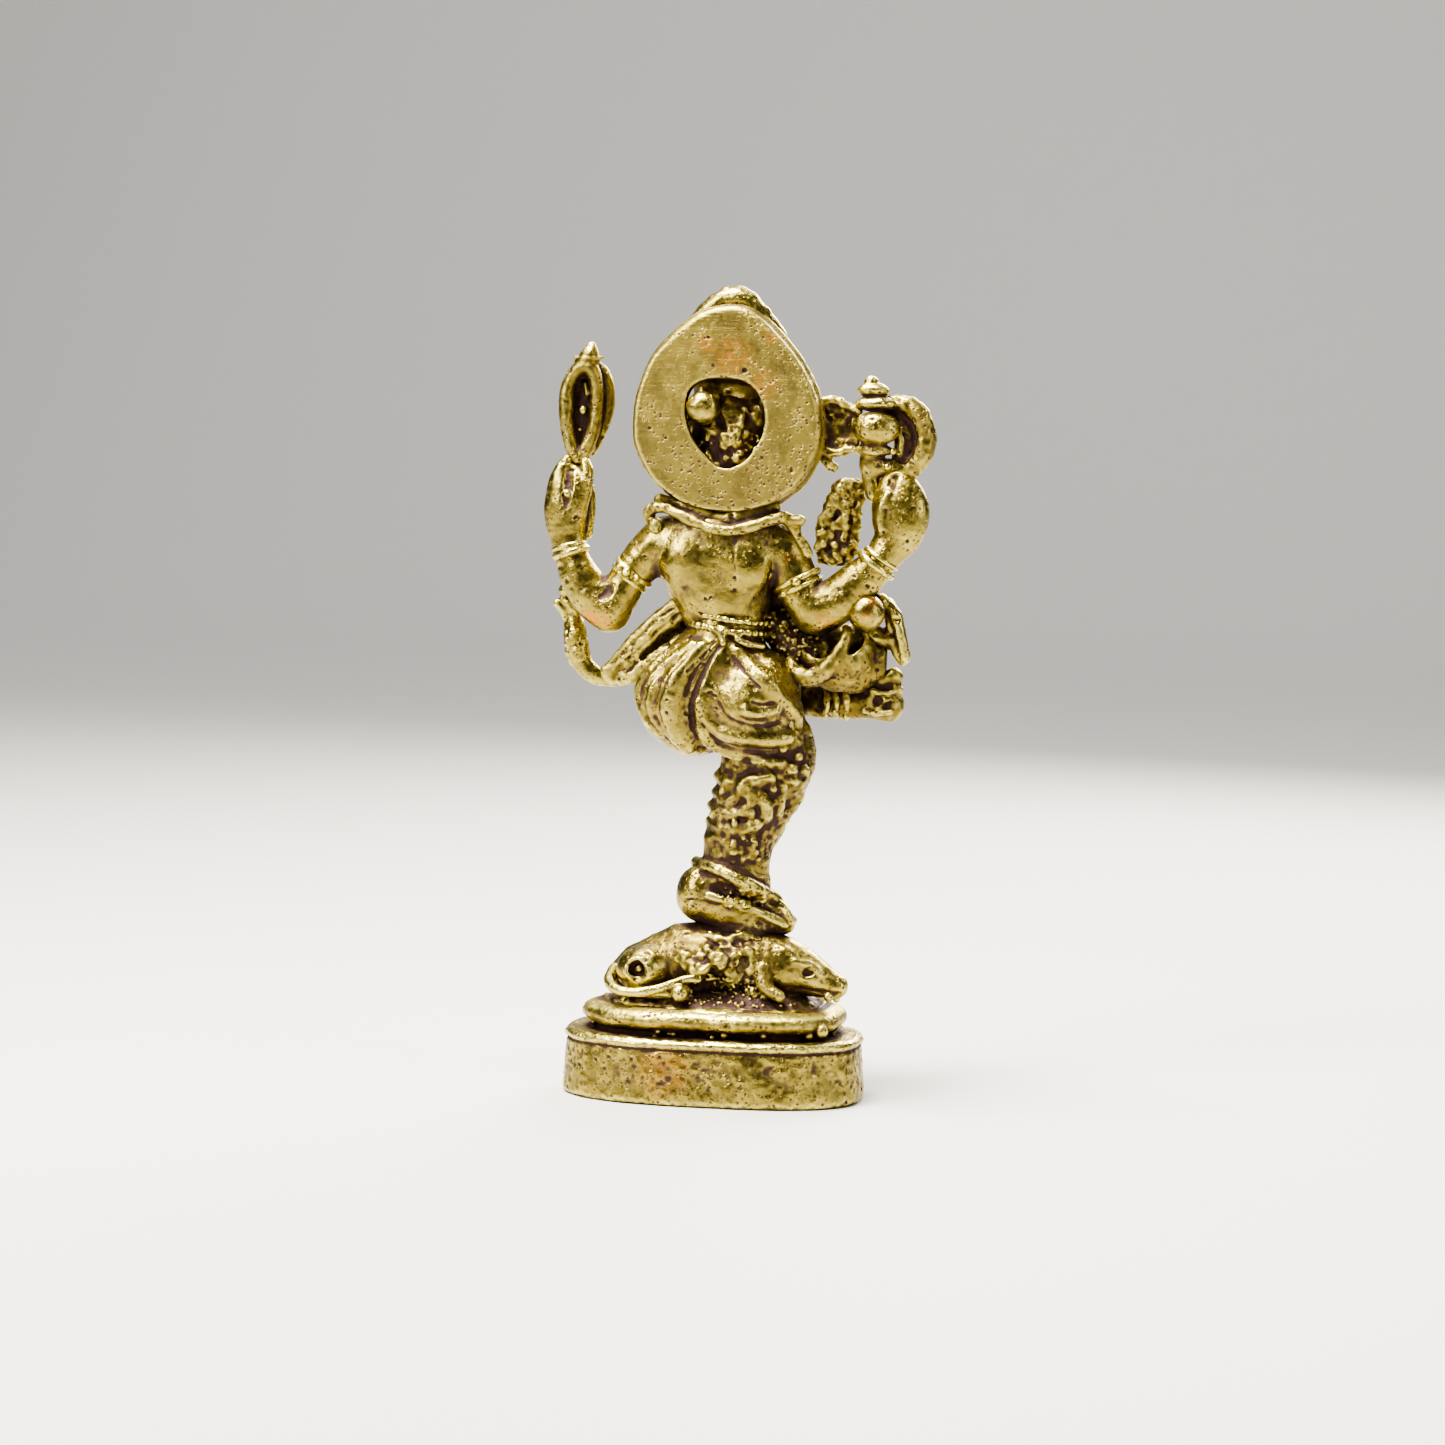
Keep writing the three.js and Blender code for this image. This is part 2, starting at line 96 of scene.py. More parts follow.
def melt(wax, cut, distance, blend, carve=False):
    # adds a distance to the block, or carves it away; the two surfaces run into each other over the
    # blend width:
    # the smaller of the two, less a quarter of the squared overlap
    own = wax["field"][cut]
    if carve:
        own, distance = -own, distance
    overlap = np.clip(blend - np.abs(own - distance), 0, None)
    both = np.minimum(own, distance) - overlap * overlap * (0.25 / max(blend, 1e-6))
    wax["field"][cut] = -both if carve else np.minimum(both, far)


def smoothPath(stations, steps, closed=False):
    # a Catmull-Rom curve through the stations: each span is a cubic whose end slopes are half the
    # neighbours' gap
    s = np.array(stations, float)
    if closed:
        s = np.vstack([s[-1], s, s[0], s[1]])
    else:
        s = np.vstack([2 * s[0] - s[1], s, 2 * s[-1] - s[-2]])
    t = np.linspace(0, 1, steps, endpoint=False)[None, :, None]
    a, b, c, d = s[:-3, None], s[1:-2, None], s[2:-1, None], s[3:, None]
    curve = 0.5 * (2 * b + (c - a) * t + (2 * a - 5 * b + 4 * c - d) * t ** 2
                   + (3 * b - a - 3 * c + d) * t ** 3)
    curve = curve.reshape(-1, s.shape[1])
    return np.vstack([curve, s[-2]])


def limb(wax, stations, blend=0.2, carve=False, flat=1.0, closed=False, steps=4):
    # a roll of wax: a ball carried along a curve, its radius going from station to station, flat times
    # as deep in y
    path = smoothPath(stations, steps, closed)
    path[:, 3] = np.maximum(path[:, 3], 0.03)
    reach = blend + 3 * voxel
    widest = path[:, 3].max() + reach + voxel
    found = window(wax, path[:, :3].min(0) - widest, path[:, :3].max(0) + widest)
    if found is None:
        return
    cut, x, y, z = found
    corner = [c.start for c in cut]
    own = np.full([c.stop - c.start for c in cut], far, np.float32)
    for a, b in zip(path[:-1], path[1:]):
        r = max(a[3], b[3]) + reach
        piece = window(wax, np.minimum(a[:3], b[:3]) - r, np.maximum(a[:3], b[:3]) + r)
        if piece is None:
            continue
        inner, px, py, pz = piece
        px, py, pz = px - a[0], (py - a[1]) / flat, pz - a[2]
        dx, dy, dz = b[0] - a[0], (b[1] - a[1]) / flat, b[2] - a[2]
        along = np.clip((px * dx + py * dy + pz * dz) / max(dx * dx + dy * dy + dz * dz, 1e-9), 0, 1)
        gap = np.sqrt((px - along * dx) ** 2 + (py - along * dy) ** 2 + (pz - along * dz) ** 2)
        gap = gap - (a[3] + (b[3] - a[3]) * along)
        local = tuple(slice(s.start - k, s.stop - k) for s, k in zip(inner, corner))
        own[local] = np.minimum(own[local], gap)
    melt(wax, cut, own, blend, carve)


def egg(wax, centre, radii, turn=0, blend=0.25, carve=False):
    # an ellipsoid turned about y: the point over the radii, its length less one, over the length of the
    # slope there
    radii = np.array(radii, float)
    reach = radii.max() + blend + 3 * voxel
    found = window(wax, np.array(centre) - reach, np.array(centre) + reach)
    if found is None:
        return
    cut, x, y, z = found
    x, y, z = x - centre[0], y - centre[1], z - centre[2]
    c, s = math.cos(math.radians(turn)), math.sin(math.radians(turn))
    x, z = c * x + s * z, c * z - s * x
    near = np.sqrt((x / radii[0]) ** 2 + (y / radii[1]) ** 2 + (z / radii[2]) ** 2) + 1e-6
    slope = np.sqrt((x / radii[0] ** 2) ** 2 + (y / radii[1] ** 2) ** 2 + (z / radii[2] ** 2) ** 2) + 1e-6
    melt(wax, cut, near * (near - 1) / slope, blend, carve)


def sheetDistance(x, z, ring):
    # signed distance in the x-z plane to a closed outline: to the nearest side, negative inside,
    # where inside means an odd number of sides crossed on the way out
    best = np.full(np.broadcast(x, z).shape, 1e9)
    inside = np.zeros(best.shape, bool)
    for (ax, az), (bx, bz) in zip(ring, np.roll(ring, -1, axis=0)):
        dx, dz = bx - ax, bz - az
        along = np.clip(((x - ax) * dx + (z - az) * dz) / (dx * dx + dz * dz + 1e-12), 0, 1)
        best = np.minimum(best, (x - ax - along * dx) ** 2 + (z - az - along * dz) ** 2)
        if az != bz:
            inside ^= ((z >= min(az, bz)) & (z < max(az, bz)) & (x < ax + (z - az) * dx / dz))
    return np.where(inside, -1, 1) * np.sqrt(best)


def plate(wax, outline, y, thick, edge=0.15, blend=0.2, carve=False, lean=(0, 0), steps=5):
    # a slab with that outline, thick in y, its edges rounded: distances across and through, taken
    # together
    # as the side of a box is; lean tilts its middle plane along x and z
    ring = smoothPath(outline, steps, closed=True)[:-1]
    centre = ring.mean(0)
    reach = blend + 3 * voxel
    spread = abs(lean[0]) * np.ptp(ring[:, 0]) / 2 + abs(lean[1]) * np.ptp(ring[:, 1]) / 2
    found = window(wax, (ring[:, 0].min() - reach, y - thick / 2 - reach - spread,
        ring[:, 1].min() - reach),
                   (ring[:, 0].max() + reach, y + thick / 2 + reach + spread, ring[:, 1].max() + reach))
    if found is None:
        return
    cut, px, py, pz = found
    across = sheetDistance(px[:, 0], pz[0], ring)[:, None, :].astype(np.float32) + edge
    middle = y + lean[0] * (px - centre[0]) + lean[1] * (pz - centre[1])
    through = np.abs(py - middle) - thick / 2 + edge
    apart = np.sqrt(np.clip(across, 0, None) ** 2 + np.clip(through, 0, None) ** 2)
    melt(wax, cut, apart + np.minimum(np.maximum(across, through), 0) - edge, blend, carve)


def oval(wax, profile, sides, square=2.6, blend=0.1, carve=False):
    # a turned oval: a superellipse whose size changes with height as the profile of (z, outset) says
    centre = (0.0, 0.0)
    heights, outsets = np.array(profile, float).T
    cut, x, y, z = window(wax, wax["first"], wax["first"] + wax["count"] * voxel)
    x, y = x - centre[0], y - centre[1]
    spread = (np.abs(x / sides[0]) ** square + np.abs(y / sides[1]) ** square) ** (1 / square) + 1e-6
    outward = np.sqrt(x * x + y * y) * (1 - 1 / spread)
    side = outward - np.interp(z, heights, outsets).astype(np.float32)
    cap = np.maximum(heights[0] - z, z - heights[-1])
    melt(wax, cut, np.maximum(side * 0.9, cap), blend, carve)


def onSurface(wax, x, z, way=1, fallback=0.0):
    # how far out in y the wax reaches at those x and z, found in the block's own columns; way -1 is the
    # front
    i = np.clip(np.rint((x - wax["first"][0]) / voxel).astype(int), 0, wax["count"][0] - 1)
    k = np.clip(np.rint((z - wax["first"][2]) / voxel).astype(int), 0, wax["count"][2] - 1)
    column = wax["field"][i, :, k]
    if way < 0:
        column = column[:, ::-1]
    steps = column.shape[1]
    last = steps - 1 - np.argmax(column[:, ::-1] < 0, axis=1)
    hit = (column < 0).any(axis=1)
    row = np.arange(len(x))
    after = np.minimum(last + 1, steps - 1)
    inner, outer = column[row, last], column[row, after]
    place = last + np.clip(inner / (inner - outer - 1e-6), 0, 1)
    if way < 0:
        place = steps - 1 - place
    return np.where(hit, wax["first"][1] + voxel * place, fallback)


def trace(wax, stations, lift=0.3, blend=0.12, carve=False, way=1, steps=5, fallback=0.0, closed=False):
    # a thin roll laid on the wax along (x, z, radius) stations; lift is how many radii its middle
    # stands proud
    path = smoothPath(stations, steps, closed)
    y = onSurface(wax, path[:, 0], path[:, 1], way, fallback)
    padded = np.concatenate([y[:1], y[:1], y, y[-1:], y[-1:]])
    y = (padded[:-4] + padded[1:-3] + padded[2:-2] + padded[3:-1] + padded[4:]) / 5
    laid = np.column_stack([path[:, 0], y + way * lift * path[:, 2], path[:, 1], path[:, 2]])
    limb(wax, laid, blend=blend, carve=carve, steps=1)


def beads(wax, drops, lift=0.4, blend=0.06, way=1, carve=False):
    # round drops of (x, z, radius) on the wax
    drops = np.array(drops, float)
    y = onSurface(wax, drops[:, 0], drops[:, 1], way)
    for (x, z, r), depth in zip(drops, y):
        egg(wax, (x, depth + way * lift * r, z), (r, r, r), blend=blend, carve=carve)


def drift(wax, spacing, seed):
    # smooth noise: random heights on a coarse lattice, eased from one lattice point to the next
    counts = [int(math.ceil(n * voxel / spacing)) + 3 for n in wax["count"]]
    heights = np.random.default_rng(seed).uniform(-1, 1, counts).astype(np.float32)
    for axis in range(3):
        place = np.arange(wax["count"][axis]) * voxel / spacing
        low = place.astype(int)
        ease = place - low
        ease = (ease * ease * (3 - 2 * ease)).astype(np.float32)
        shape = [1, 1, 1]
        shape[axis] = -1
        ease = ease.reshape(shape)
        heights = np.take(heights, low, axis) * (1 - ease) + np.take(heights, low + 1, axis) * ease
    return heights


def roughen(wax, seed, lumps=0.03, grit=0.012, pits=40, pitSize=(0.05, 0.11)):
    # what casting leaves: slow lumps, fine grit, and round pits where gas bubbles sat against the mould
    wax["field"] += lumps * drift(wax, 0.7, seed) + grit * drift(wax, 0.22, seed + 1)
    rng = np.random.default_rng(seed + 2)
    shell = np.argwhere(np.abs(wax["field"]) < voxel * 0.5)
    if len(shell) == 0:
        return
    for i in rng.integers(0, len(shell), pits // 2):
        r = rng.uniform(*pitSize)
        egg(wax, wax["first"] + voxel * shell[i], (r * 1.5, r * 0.8, r * 0.7), turn=rng.uniform(-40, 40),
            blend=0.1, carve=True)


def cobble(wax, low, high, size, seed, height=0.6, blend=0.05, gap=1.5):
    # granules thrown over a region: jittered lattice points that lie near the surface each carry a drop
    rng = np.random.default_rng(seed)
    axes = [np.arange(a, b, size * gap) for a, b in zip(low, high)]
    spots = np.stack(np.meshgrid(*axes, indexing="ij"), -1).reshape(-1, 3)
    spots = spots + rng.uniform(-0.45, 0.45, spots.shape) * size * gap
    index = np.clip(np.rint((spots - wax["first"]) / voxel).astype(int), 0, wax["count"] - 1)
    depth = wax["field"][index[:, 0], index[:, 1], index[:, 2]]
    for spot in spots[np.abs(depth) < size * height]:
        r = size * rng.uniform(0.55, 0.95)
        egg(wax, spot, (r, r, r), blend=blend)


def soften(values, sigma):
    # a Gaussian blur done one axis at a time; sigma in steps of the lattice
    reach = max(1, int(math.ceil(2.2 * sigma)))
    taps = np.exp(-0.5 * (np.arange(-reach, reach + 1) / sigma) ** 2)
    taps = (taps / taps.sum()).astype(np.float32)
    for axis in range(3):
        padded = np.pad(values, [(reach, reach) if a == axis else (0, 0) for a in range(3)], mode="edge")
        size = values.shape[axis]
        values = sum(w * np.take(padded, np.arange(k, k + size), axis) for k, w in enumerate(taps))
    return values


def sample(values, first, step, points):
    # values between lattice points, in proportion to nearness
    place = np.clip((points - first) / step, 0, np.array(values.shape) - 1.001)
    low = place.astype(int)
    part = place - low
    total = 0
    for corner in range(8):
        pick = np.array([corner & 1, corner >> 1 & 1, corner >> 2 & 1])
        weight = np.prod(np.where(pick, part, 1 - part), axis=1)
        total = total + weight * values[tuple((low + pick).T)]
    return total


def drawAt(wax, shape):
    # stations are drawn round shape["middle"]; the block is shifted so that this falls on the middle of
    # the CAD piece,
    # so the piece goes wherever the CAD says
    low = np.min([cadLow[name] for name in shape["nodes"]], axis=0)
    high = np.max([cadHigh[name] for name in shape["nodes"]], axis=0)
    shift = (low + high) / 2 - np.array(shape["middle"])
    wax["first"] = wax["first"] - shift
    shape["draw"](wax)
    wax["first"] = wax["first"] + shift


pieces = []


def cast(name, shape, reach=0.3, fillet=0.35):
    # casts one piece in metal: draws its wax, runs a skirt of it onto its neighbours, and takes the
    # zero surface
    nodes, finish, room = shape["nodes"], shape["finish"], shape.get("room", 0.7)
    wax = newWax(nodes, room)
    drawAt(wax, shape)
    onto = shape.get("onto", [])
    if onto:
        beside = newWax(nodes, room)
        for neighbour in onto:
            drawAt(beside, neighbour)
        alone = wax["field"].copy()
        below = beside["field"] + 0.03
        overlap = np.clip(fillet - np.abs(alone - below), 0, None)
        joined = np.minimum(alone, below) - overlap * overlap * (0.25 / fillet)
        wax["field"] = np.maximum(joined, alone - reach).astype(np.float32)
    grid = openvdb.FloatGrid(far)
    grid.copyFromArray(wax["field"])
    points, quads = grid.convertToQuads(0)
    points = points * voxel + wax["first"]
    mesh = bpy.data.meshes.new(name)
    mesh.vertices.add(len(points))
    mesh.vertices.foreach_set("co", (points * mm).astype(np.float32).ravel())
    mesh.loops.add(quads.size)
    mesh.loops.foreach_set("vertex_index", quads.astype(np.int32).ravel())
    mesh.polygons.add(len(quads))
    mesh.polygons.foreach_set("loop_start", np.arange(0, quads.size, 4, dtype=np.int32))
    mesh.update(calc_edges=True)
    mesh.validate()
    mesh.shade_smooth()
    piece = bpy.data.objects.new(name, mesh)
    bpy.context.scene.collection.objects.link(piece)
    mesh.materials.append(finish)
    bend = soften(wax["field"], 2.0) - wax["field"]
    hollow = -sample(bend, wax["first"], voxel, points) / voxel
    pieces.append({"object": piece, "wax": wax, "points": points, "hollow": hollow})
    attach(piece, "root")
    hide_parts(*nodes)
    print(name, len(quads) * 2, "triangles", round(time.time() - startTime, 1), "s")
    return piece


def linear(hexCode):
    # sRGB hex to linear light: the low end over 12.92, the rest to the power 2.4
    parts = [int(hexCode[i:i + 2], 16) / 255 for i in (1, 3, 5)]
    return tuple(p / 12.92 if p <= 0.04045 else ((p + 0.055) / 1.055) ** 2.4 for p in parts) + (1,)


def node(tree, kind, settings=None, inputs=None, links=None):
    # adds a node, sets its fields and sockets, and links sockets of it from other nodes' outputs
    made = tree.nodes.new(kind)
    for key, value in (settings or {}).items():
        setattr(made, key, value)
    for key, value in (inputs or {}).items():
        made.inputs[key].default_value = value
    for key, source in (links or {}).items():
        tree.links.new(source, made.inputs[key])
    return made


def antiqueBrass(name, look):
    # Lost-wax brass, darkened with a sulphide dip and then rubbed back: olive gold on the open faces,
    # bright yellow on the edges that the cloth reached, purple-brown patina left in every hollow,
    # the same brown laid on as painted shade where other metal crowds round, rosy copper where the dip
    # plated a little, and painted warm reflections at a few given spots.
    material = bpy.data.materials.new(name)
    material.use_nodes = True
    tree = material.node_tree
    tree.nodes.clear()
    where = node(tree, "ShaderNodeTexCoord").outputs["Object"]
    hollow = node(tree, "ShaderNodeAttribute", {"attribute_name": "hollow"}).outputs["Fac"]
    shutInPatinaAndShade = node(tree, "ShaderNodeAttribute", {"attribute_name": "shutInPatinaAndShade"}).outputs["Fac"]
    blotch = node(tree, "ShaderNodeTexNoise", None, {"Scale": 900, "Detail": 4, "Roughness": 0.6},
        {"Vector": where})
    fine = node(tree, "ShaderNodeTexNoise", None, {"Scale": 5200, "Detail": 5, "Roughness": 0.65},
        {"Vector": where})
    # pits: dots where a cell's middle is near, thinned out by a slow noise
    dots = node(tree, "ShaderNodeTexVoronoi", {"feature": "F1"},
        {"Scale": look["pitScale"], "Randomness": 1.0}, {"Vector": where})
    ragged = node(tree, "ShaderNodeMath", {"operation": "MULTIPLY_ADD"}, {1: 0.7},
        {0: fine.outputs["Fac"], 2: dots.outputs["Distance"]})
    pit = node(tree, "ShaderNodeMapRange", None, {"From Min": 0.52, "From Max": 0.74, "To Min": 0.9,
        "To Max": 0.0}, {"Value": ragged.outputs[0]})
    # fewest pits here, more with distance
    x, y, z, reach, gain = look["leastPits"]
    apart = node(tree, "ShaderNodeVectorMath", {"operation": "DISTANCE"}, {1: (x * mm, y * mm, z * mm)},
        {0: where})
    crowd = node(tree, "ShaderNodeMapRange", None, {"From Min": 0.0, "From Max": reach * mm,
        "To Min": -gain, "To Max": gain}, {"Value": apart.outputs["Value"]})
    crowded = node(tree, "ShaderNodeMath", {"operation": "ADD"}, None,
        {0: blotch.outputs["Fac"], 1: crowd.outputs[0]})
    thin = node(tree, "ShaderNodeMapRange", None, {"From Min": look["pitThin"],
        "From Max": look["pitThin"] + 0.12}, {"Value": crowded.outputs[0]})
    pitted = node(tree, "ShaderNodeMath", {"operation": "MULTIPLY"}, None,
        {0: pit.outputs[0], 1: thin.outputs[0]})
    # patina in hollow places and painted shade where nearby metal shuts the surface in, broken up by both
    # noises
    deep = node(tree, "ShaderNodeMath", {"operation": "MULTIPLY_ADD"},
        {1: look["hollowGain"], 2: look["patinaAndShadeStart"]}, {0: hollow})
    under = node(tree, "ShaderNodeMath", {"operation": "MULTIPLY_ADD"}, {1: look["shutInPatinaAndShadeGain"]},
        {0: shutInPatinaAndShade, 2: deep.outputs[0]})
    broken = node(tree, "ShaderNodeMath", {"operation": "MULTIPLY_ADD"}, {1: 0.9},
        {0: fine.outputs["Fac"], 2: under.outputs[0]})
    clouded = node(tree, "ShaderNodeMath", {"operation": "MULTIPLY_ADD"}, {1: 0.5},
        {0: blotch.outputs["Fac"], 2: broken.outputs[0]})
    dark = node(tree, "ShaderNodeMapRange", {"interpolation_type": "SMOOTHSTEP"},
        {"From Min": 0.68, "From Max": 1.45}, {"Value": clouded.outputs[0]})
    patinaAndShade = node(tree, "ShaderNodeMath", {"operation": "MAXIMUM"}, None,
        {0: dark.outputs[0], 1: pitted.outputs[0]})
    # rubbed edges
    edge = node(tree, "ShaderNodeMapRange", None, {"From Min": -0.2, "From Max": -0.75, "To Max": 0.7},
        {"Value": hollow})
    metal = node(tree, "ShaderNodeValToRGB", None, None, {"Fac": blotch.outputs["Fac"]})
    ramp = metal.color_ramp
    ramp.elements[0].position, ramp.elements[0].color = 0.30, linear(look["olive"])
    ramp.elements[1].position, ramp.elements[1].color = 0.62, linear(look["gold"])
    warm = node(tree, "ShaderNodeTexNoise", None, {"Scale": 420, "Detail": 3, "Roughness": 0.55},
        {"Vector": where})
    rosy = node(tree, "ShaderNodeMapRange", {"interpolation_type": "SMOOTHSTEP"},
        {"From Min": look["copperFrom"], "From Max": look["copperFrom"] + 0.09, "To Max": 0.75},
        {"Value": warm.outputs["Fac"]})
    copperAndReflection = rosy.outputs[0]
    for x, y, z, r in look["paintedReflectionSpots"]:                               # painted warm reflections at these given spots, in the copper colour
        away = node(tree, "ShaderNodeVectorMath", {"operation": "DISTANCE"}, {1: (x * mm, y * mm, z * mm)},
            {0: where})
        spot = node(tree, "ShaderNodeMapRange", {"interpolation_type": "SMOOTHSTEP"},
            {"From Min": r * mm, "From Max": 0.2 * r * mm}, {"Value": away.outputs["Value"]})
        worn = node(tree, "ShaderNodeMapRange", None, {"From Min": 0.42, "From Max": 0.62, "To Max": 0.9},
            {"Value": fine.outputs["Fac"]})
        both = node(tree, "ShaderNodeMath", {"operation": "MULTIPLY"}, None,
            {0: spot.outputs[0], 1: worn.outputs[0]})
        copperAndReflection = node(tree, "ShaderNodeMath", {"operation": "MAXIMUM"}, None,
            {0: copperAndReflection, 1: both.outputs[0]}).outputs[0]
    # the copper tint is random rosy patches plus painted warm reflections at the given spots
    tinted = node(tree, "ShaderNodeMix", {"data_type": "RGBA"}, {"B": linear("#C8873F")},
        {"Factor": copperAndReflection, "A": metal.outputs["Color"]})
    rubbed = node(tree, "ShaderNodeMix", {"data_type": "RGBA"}, {"B": linear(look["bright"])},
        {"Factor": edge.outputs[0], "A": tinted.outputs[2]})
    brown = node(tree, "ShaderNodeMix", {"data_type": "RGBA"}, {"B": linear(look["patinaAndShade"])},
        {"Factor": patinaAndShade.outputs[0], "A": rubbed.outputs[2]})
    rough = node(tree, "ShaderNodeMapRange", None, {"From Min": 0.3, "From Max": 0.7,
        "To Min": look["rough"][0], "To Max": look["rough"][1]}, {"Value": fine.outputs["Fac"]})
    roughness = node(tree, "ShaderNodeMix", {"data_type": "FLOAT"}, {"B": 0.62},
        {"Factor": patinaAndShade.outputs[0], "A": rough.outputs[0]})
    metallic = node(tree, "ShaderNodeMapRange", None, {"To Min": 1.0, "To Max": 0.45},
        {"Value": patinaAndShade.outputs[0]})
    lumps = node(tree, "ShaderNodeTexNoise", None, {"Scale": 2400, "Detail": 3, "Roughness": 0.5},
        {"Vector": where})
    height = node(tree, "ShaderNodeMath", {"operation": "MULTIPLY_ADD"}, {1: 0.45},
        {0: fine.outputs["Fac"], 2: lumps.outputs["Fac"]})
    lowered = node(tree, "ShaderNodeMath", {"operation": "MULTIPLY_ADD"}, {1: -0.8},
        {0: pitted.outputs[0], 2: height.outputs[0]})
    if look["filed"]:
        # filing lines: noise drawn out along x, 25 times finer up the face
        stretch = node(tree, "ShaderNodeMapping", None,
            {"Scale": (250, 600, 6500), "Rotation": (0, 0.12, 0)}, {"Vector": where})
        strokes = node(tree, "ShaderNodeTexNoise", None, {"Scale": 1, "Detail": 4, "Roughness": 0.6},
            {"Vector": stretch.outputs[0]})
        lowered = node(tree, "ShaderNodeMath", {"operation": "MULTIPLY_ADD"}, {1: look["filed"]},
            {0: strokes.outputs["Fac"], 2: lowered.outputs[0]})
    bump = node(tree, "ShaderNodeBump", None, {"Strength": look["bump"], "Distance": 0.00006},
        {"Height": lowered.outputs[0]})
    shader = node(tree, "ShaderNodeBsdfPrincipled", None, {"Coat Weight": 0.0}, {
        "Base Color": brown.outputs[2], "Roughness": roughness.outputs[0],
        "Metallic": metallic.outputs[0], "Normal": bump.outputs[0]})
    node(tree, "ShaderNodeOutputMaterial", None, None, {"Surface": shader.outputs[0]})
    return material


# In each look the dark brown is both real patina and painted shade; the gain on the shut-in share sets how
# much painted shade crowded places get.
polishedBrass = antiqueBrass("rubbed_antique_brass", {
    "olive": "#7F7240", "gold": "#AF9D55", "bright": "#E4D683", "patinaAndShade": "#4C362B",
    "rough": (0.22, 0.40), "bump": 0.55, "pitScale": 5000, "pitThin": 0.44, "leastPits": (2.0, 2.0, 22.0,
        30.0, 0.05), "filed": 0,
    "hollowGain": 1.9, "shutInPatinaAndShadeGain": 1.3, "patinaAndShadeStart": -0.91, "copperFrom": 0.70,
    "paintedReflectionSpots": [(1.6, 4.0, 1.5, 1.6), (5.3, 1.2, 20.5, 0.7), (-4.6, 1.3, 20.8, 0.7),
        (-3.0, 1.2, 23.6, 0.5)]})
satinBrass = antiqueBrass("filed_antique_brass", {
    "olive": "#807243", "gold": "#A79654", "bright": "#DBCC78", "patinaAndShade": "#4A352C",
    "rough": (0.38, 0.52), "bump": 0.6, "pitScale": 4600, "pitThin": 0.45, "leastPits": (1.8, 1.6, 32.4,
        6.5, 0.11), "filed": 1.1,
    "hollowGain": 1.6, "shutInPatinaAndShadeGain": 1.15, "patinaAndShadeStart": -0.84, "copperFrom": 0.70,
    "paintedReflectionSpots": [(-0.2, 1.6, 32.1, 1.3), (-1.6, 1.6, 31.0, 0.9), (-1.9, 1.6, 33.1, 0.6),
        (0.9, 1.6, 32.6, 0.7)]})
patinatedBrass = antiqueBrass("dipped_antique_brass", {
    "olive": "#695C30", "gold": "#938145", "bright": "#DBCC78", "patinaAndShade": "#462F26",
    "rough": (0.28, 0.50), "bump": 0.75, "pitScale": 5000, "pitThin": 0.43, "leastPits": (0.0, 0.0, 20.0,
        20.0, 0.0), "filed": 0,
    "hollowGain": 2.2, "shutInPatinaAndShadeGain": 1.4, "patinaAndShadeStart": -0.82, "copperFrom": 0.68,
    "paintedReflectionSpots": []})


drumProfile = [(0.0, -0.22), (0.06, -0.08), (0.2, 0.0), (0.5, 0.0), (1.3, -0.07), (2.2, -0.15),
    (2.33, -0.17),
               (2.38, -0.26), (2.43, -0.17), (2.5, -0.10), (2.62, -0.07), (2.74, -0.12), (2.84, -0.3)]
stepShape = {
    "profile": [(2.7, -0.5), (3.06, -0.48), (3.16, -0.2), (3.28, -0.02), (3.45, 0.08), (3.62, 0.07),
        (3.8, -0.04),
                (3.93, -0.22), (4.02, -0.5), (4.1, -0.9)],
    "beads": [(2.0, 3.12, 0.14), (1.55, 3.02, 0.07), (0.33, 3.0, 0.09), (-0.14, 3.05, 0.14),
        (-0.56, 3.04, 0.1),
              (-2.56, 3.12, 0.15), (-4.45, 3.12, 0.2), (-5.0, 3.3, 0.3), (-4.75, 3.0, 0.12)],
}


def drumWax(wax):
    oval(wax, drumProfile, (6.6, 4.09))
    roughen(wax, 11, lumps=0.04, grit=0.032, pits=150, pitSize=(0.035, 0.065))


baseDrum = {"nodes": ["base_drum", "base_rim"], "middle": (0.0, 0.0, 1.41), "draw": drumWax,
    "finish": polishedBrass, "room": 0.35}
cast("base_drum", baseDrum)


def stepWax(wax):
    oval(wax, stepShape["profile"], (5.66, 3.5))
    wax["field"] += 0.15 * drift(wax, 1.5, 20)
    rng = np.random.default_rng(21)
    for turn in np.sort(rng.uniform(0, 2 * math.pi, 46)):   # small casting drops caught under the step
        r = rng.uniform(0.05, 0.16)
        egg(wax, (5.35 * math.cos(turn), 3.25 * math.sin(turn), rng.uniform(2.9, 3.1)), (r, r, r),
            blend=0.05)
    beads(wax, stepShape["beads"], lift=0.3)
    roughen(wax, 22, lumps=0.05, grit=0.02, pits=60)


baseStep = {"nodes": ["base_neck", "base_step"], "middle": (0.0, 0.0, 3.42), "draw": stepWax,
    "finish": patinatedBrass, "room": 0.35}
cast("base_step", baseStep)


def groundWax(wax):
    oval(wax, [(3.8, 0.1), (4.0, 0.0), (4.15, -0.35), (4.4, -0.7), (4.65, -1.1), (4.85, -1.7), (5.0, -2.5)],
        (4.95, 3.05), 2.3)
    roughen(wax, 31, lumps=0.07, grit=0.05, pits=40)
    cobble(wax, (-5, 1.6, 4.3), (1.0, 3.2, 4.9), 0.1, 32)


baseGround = {"nodes": ["base_ground"], "middle": (0.0, 0.0, 4.36), "draw": groundWax,
    "finish": patinatedBrass, "room": 0.4}
cast("base_ground", baseGround)


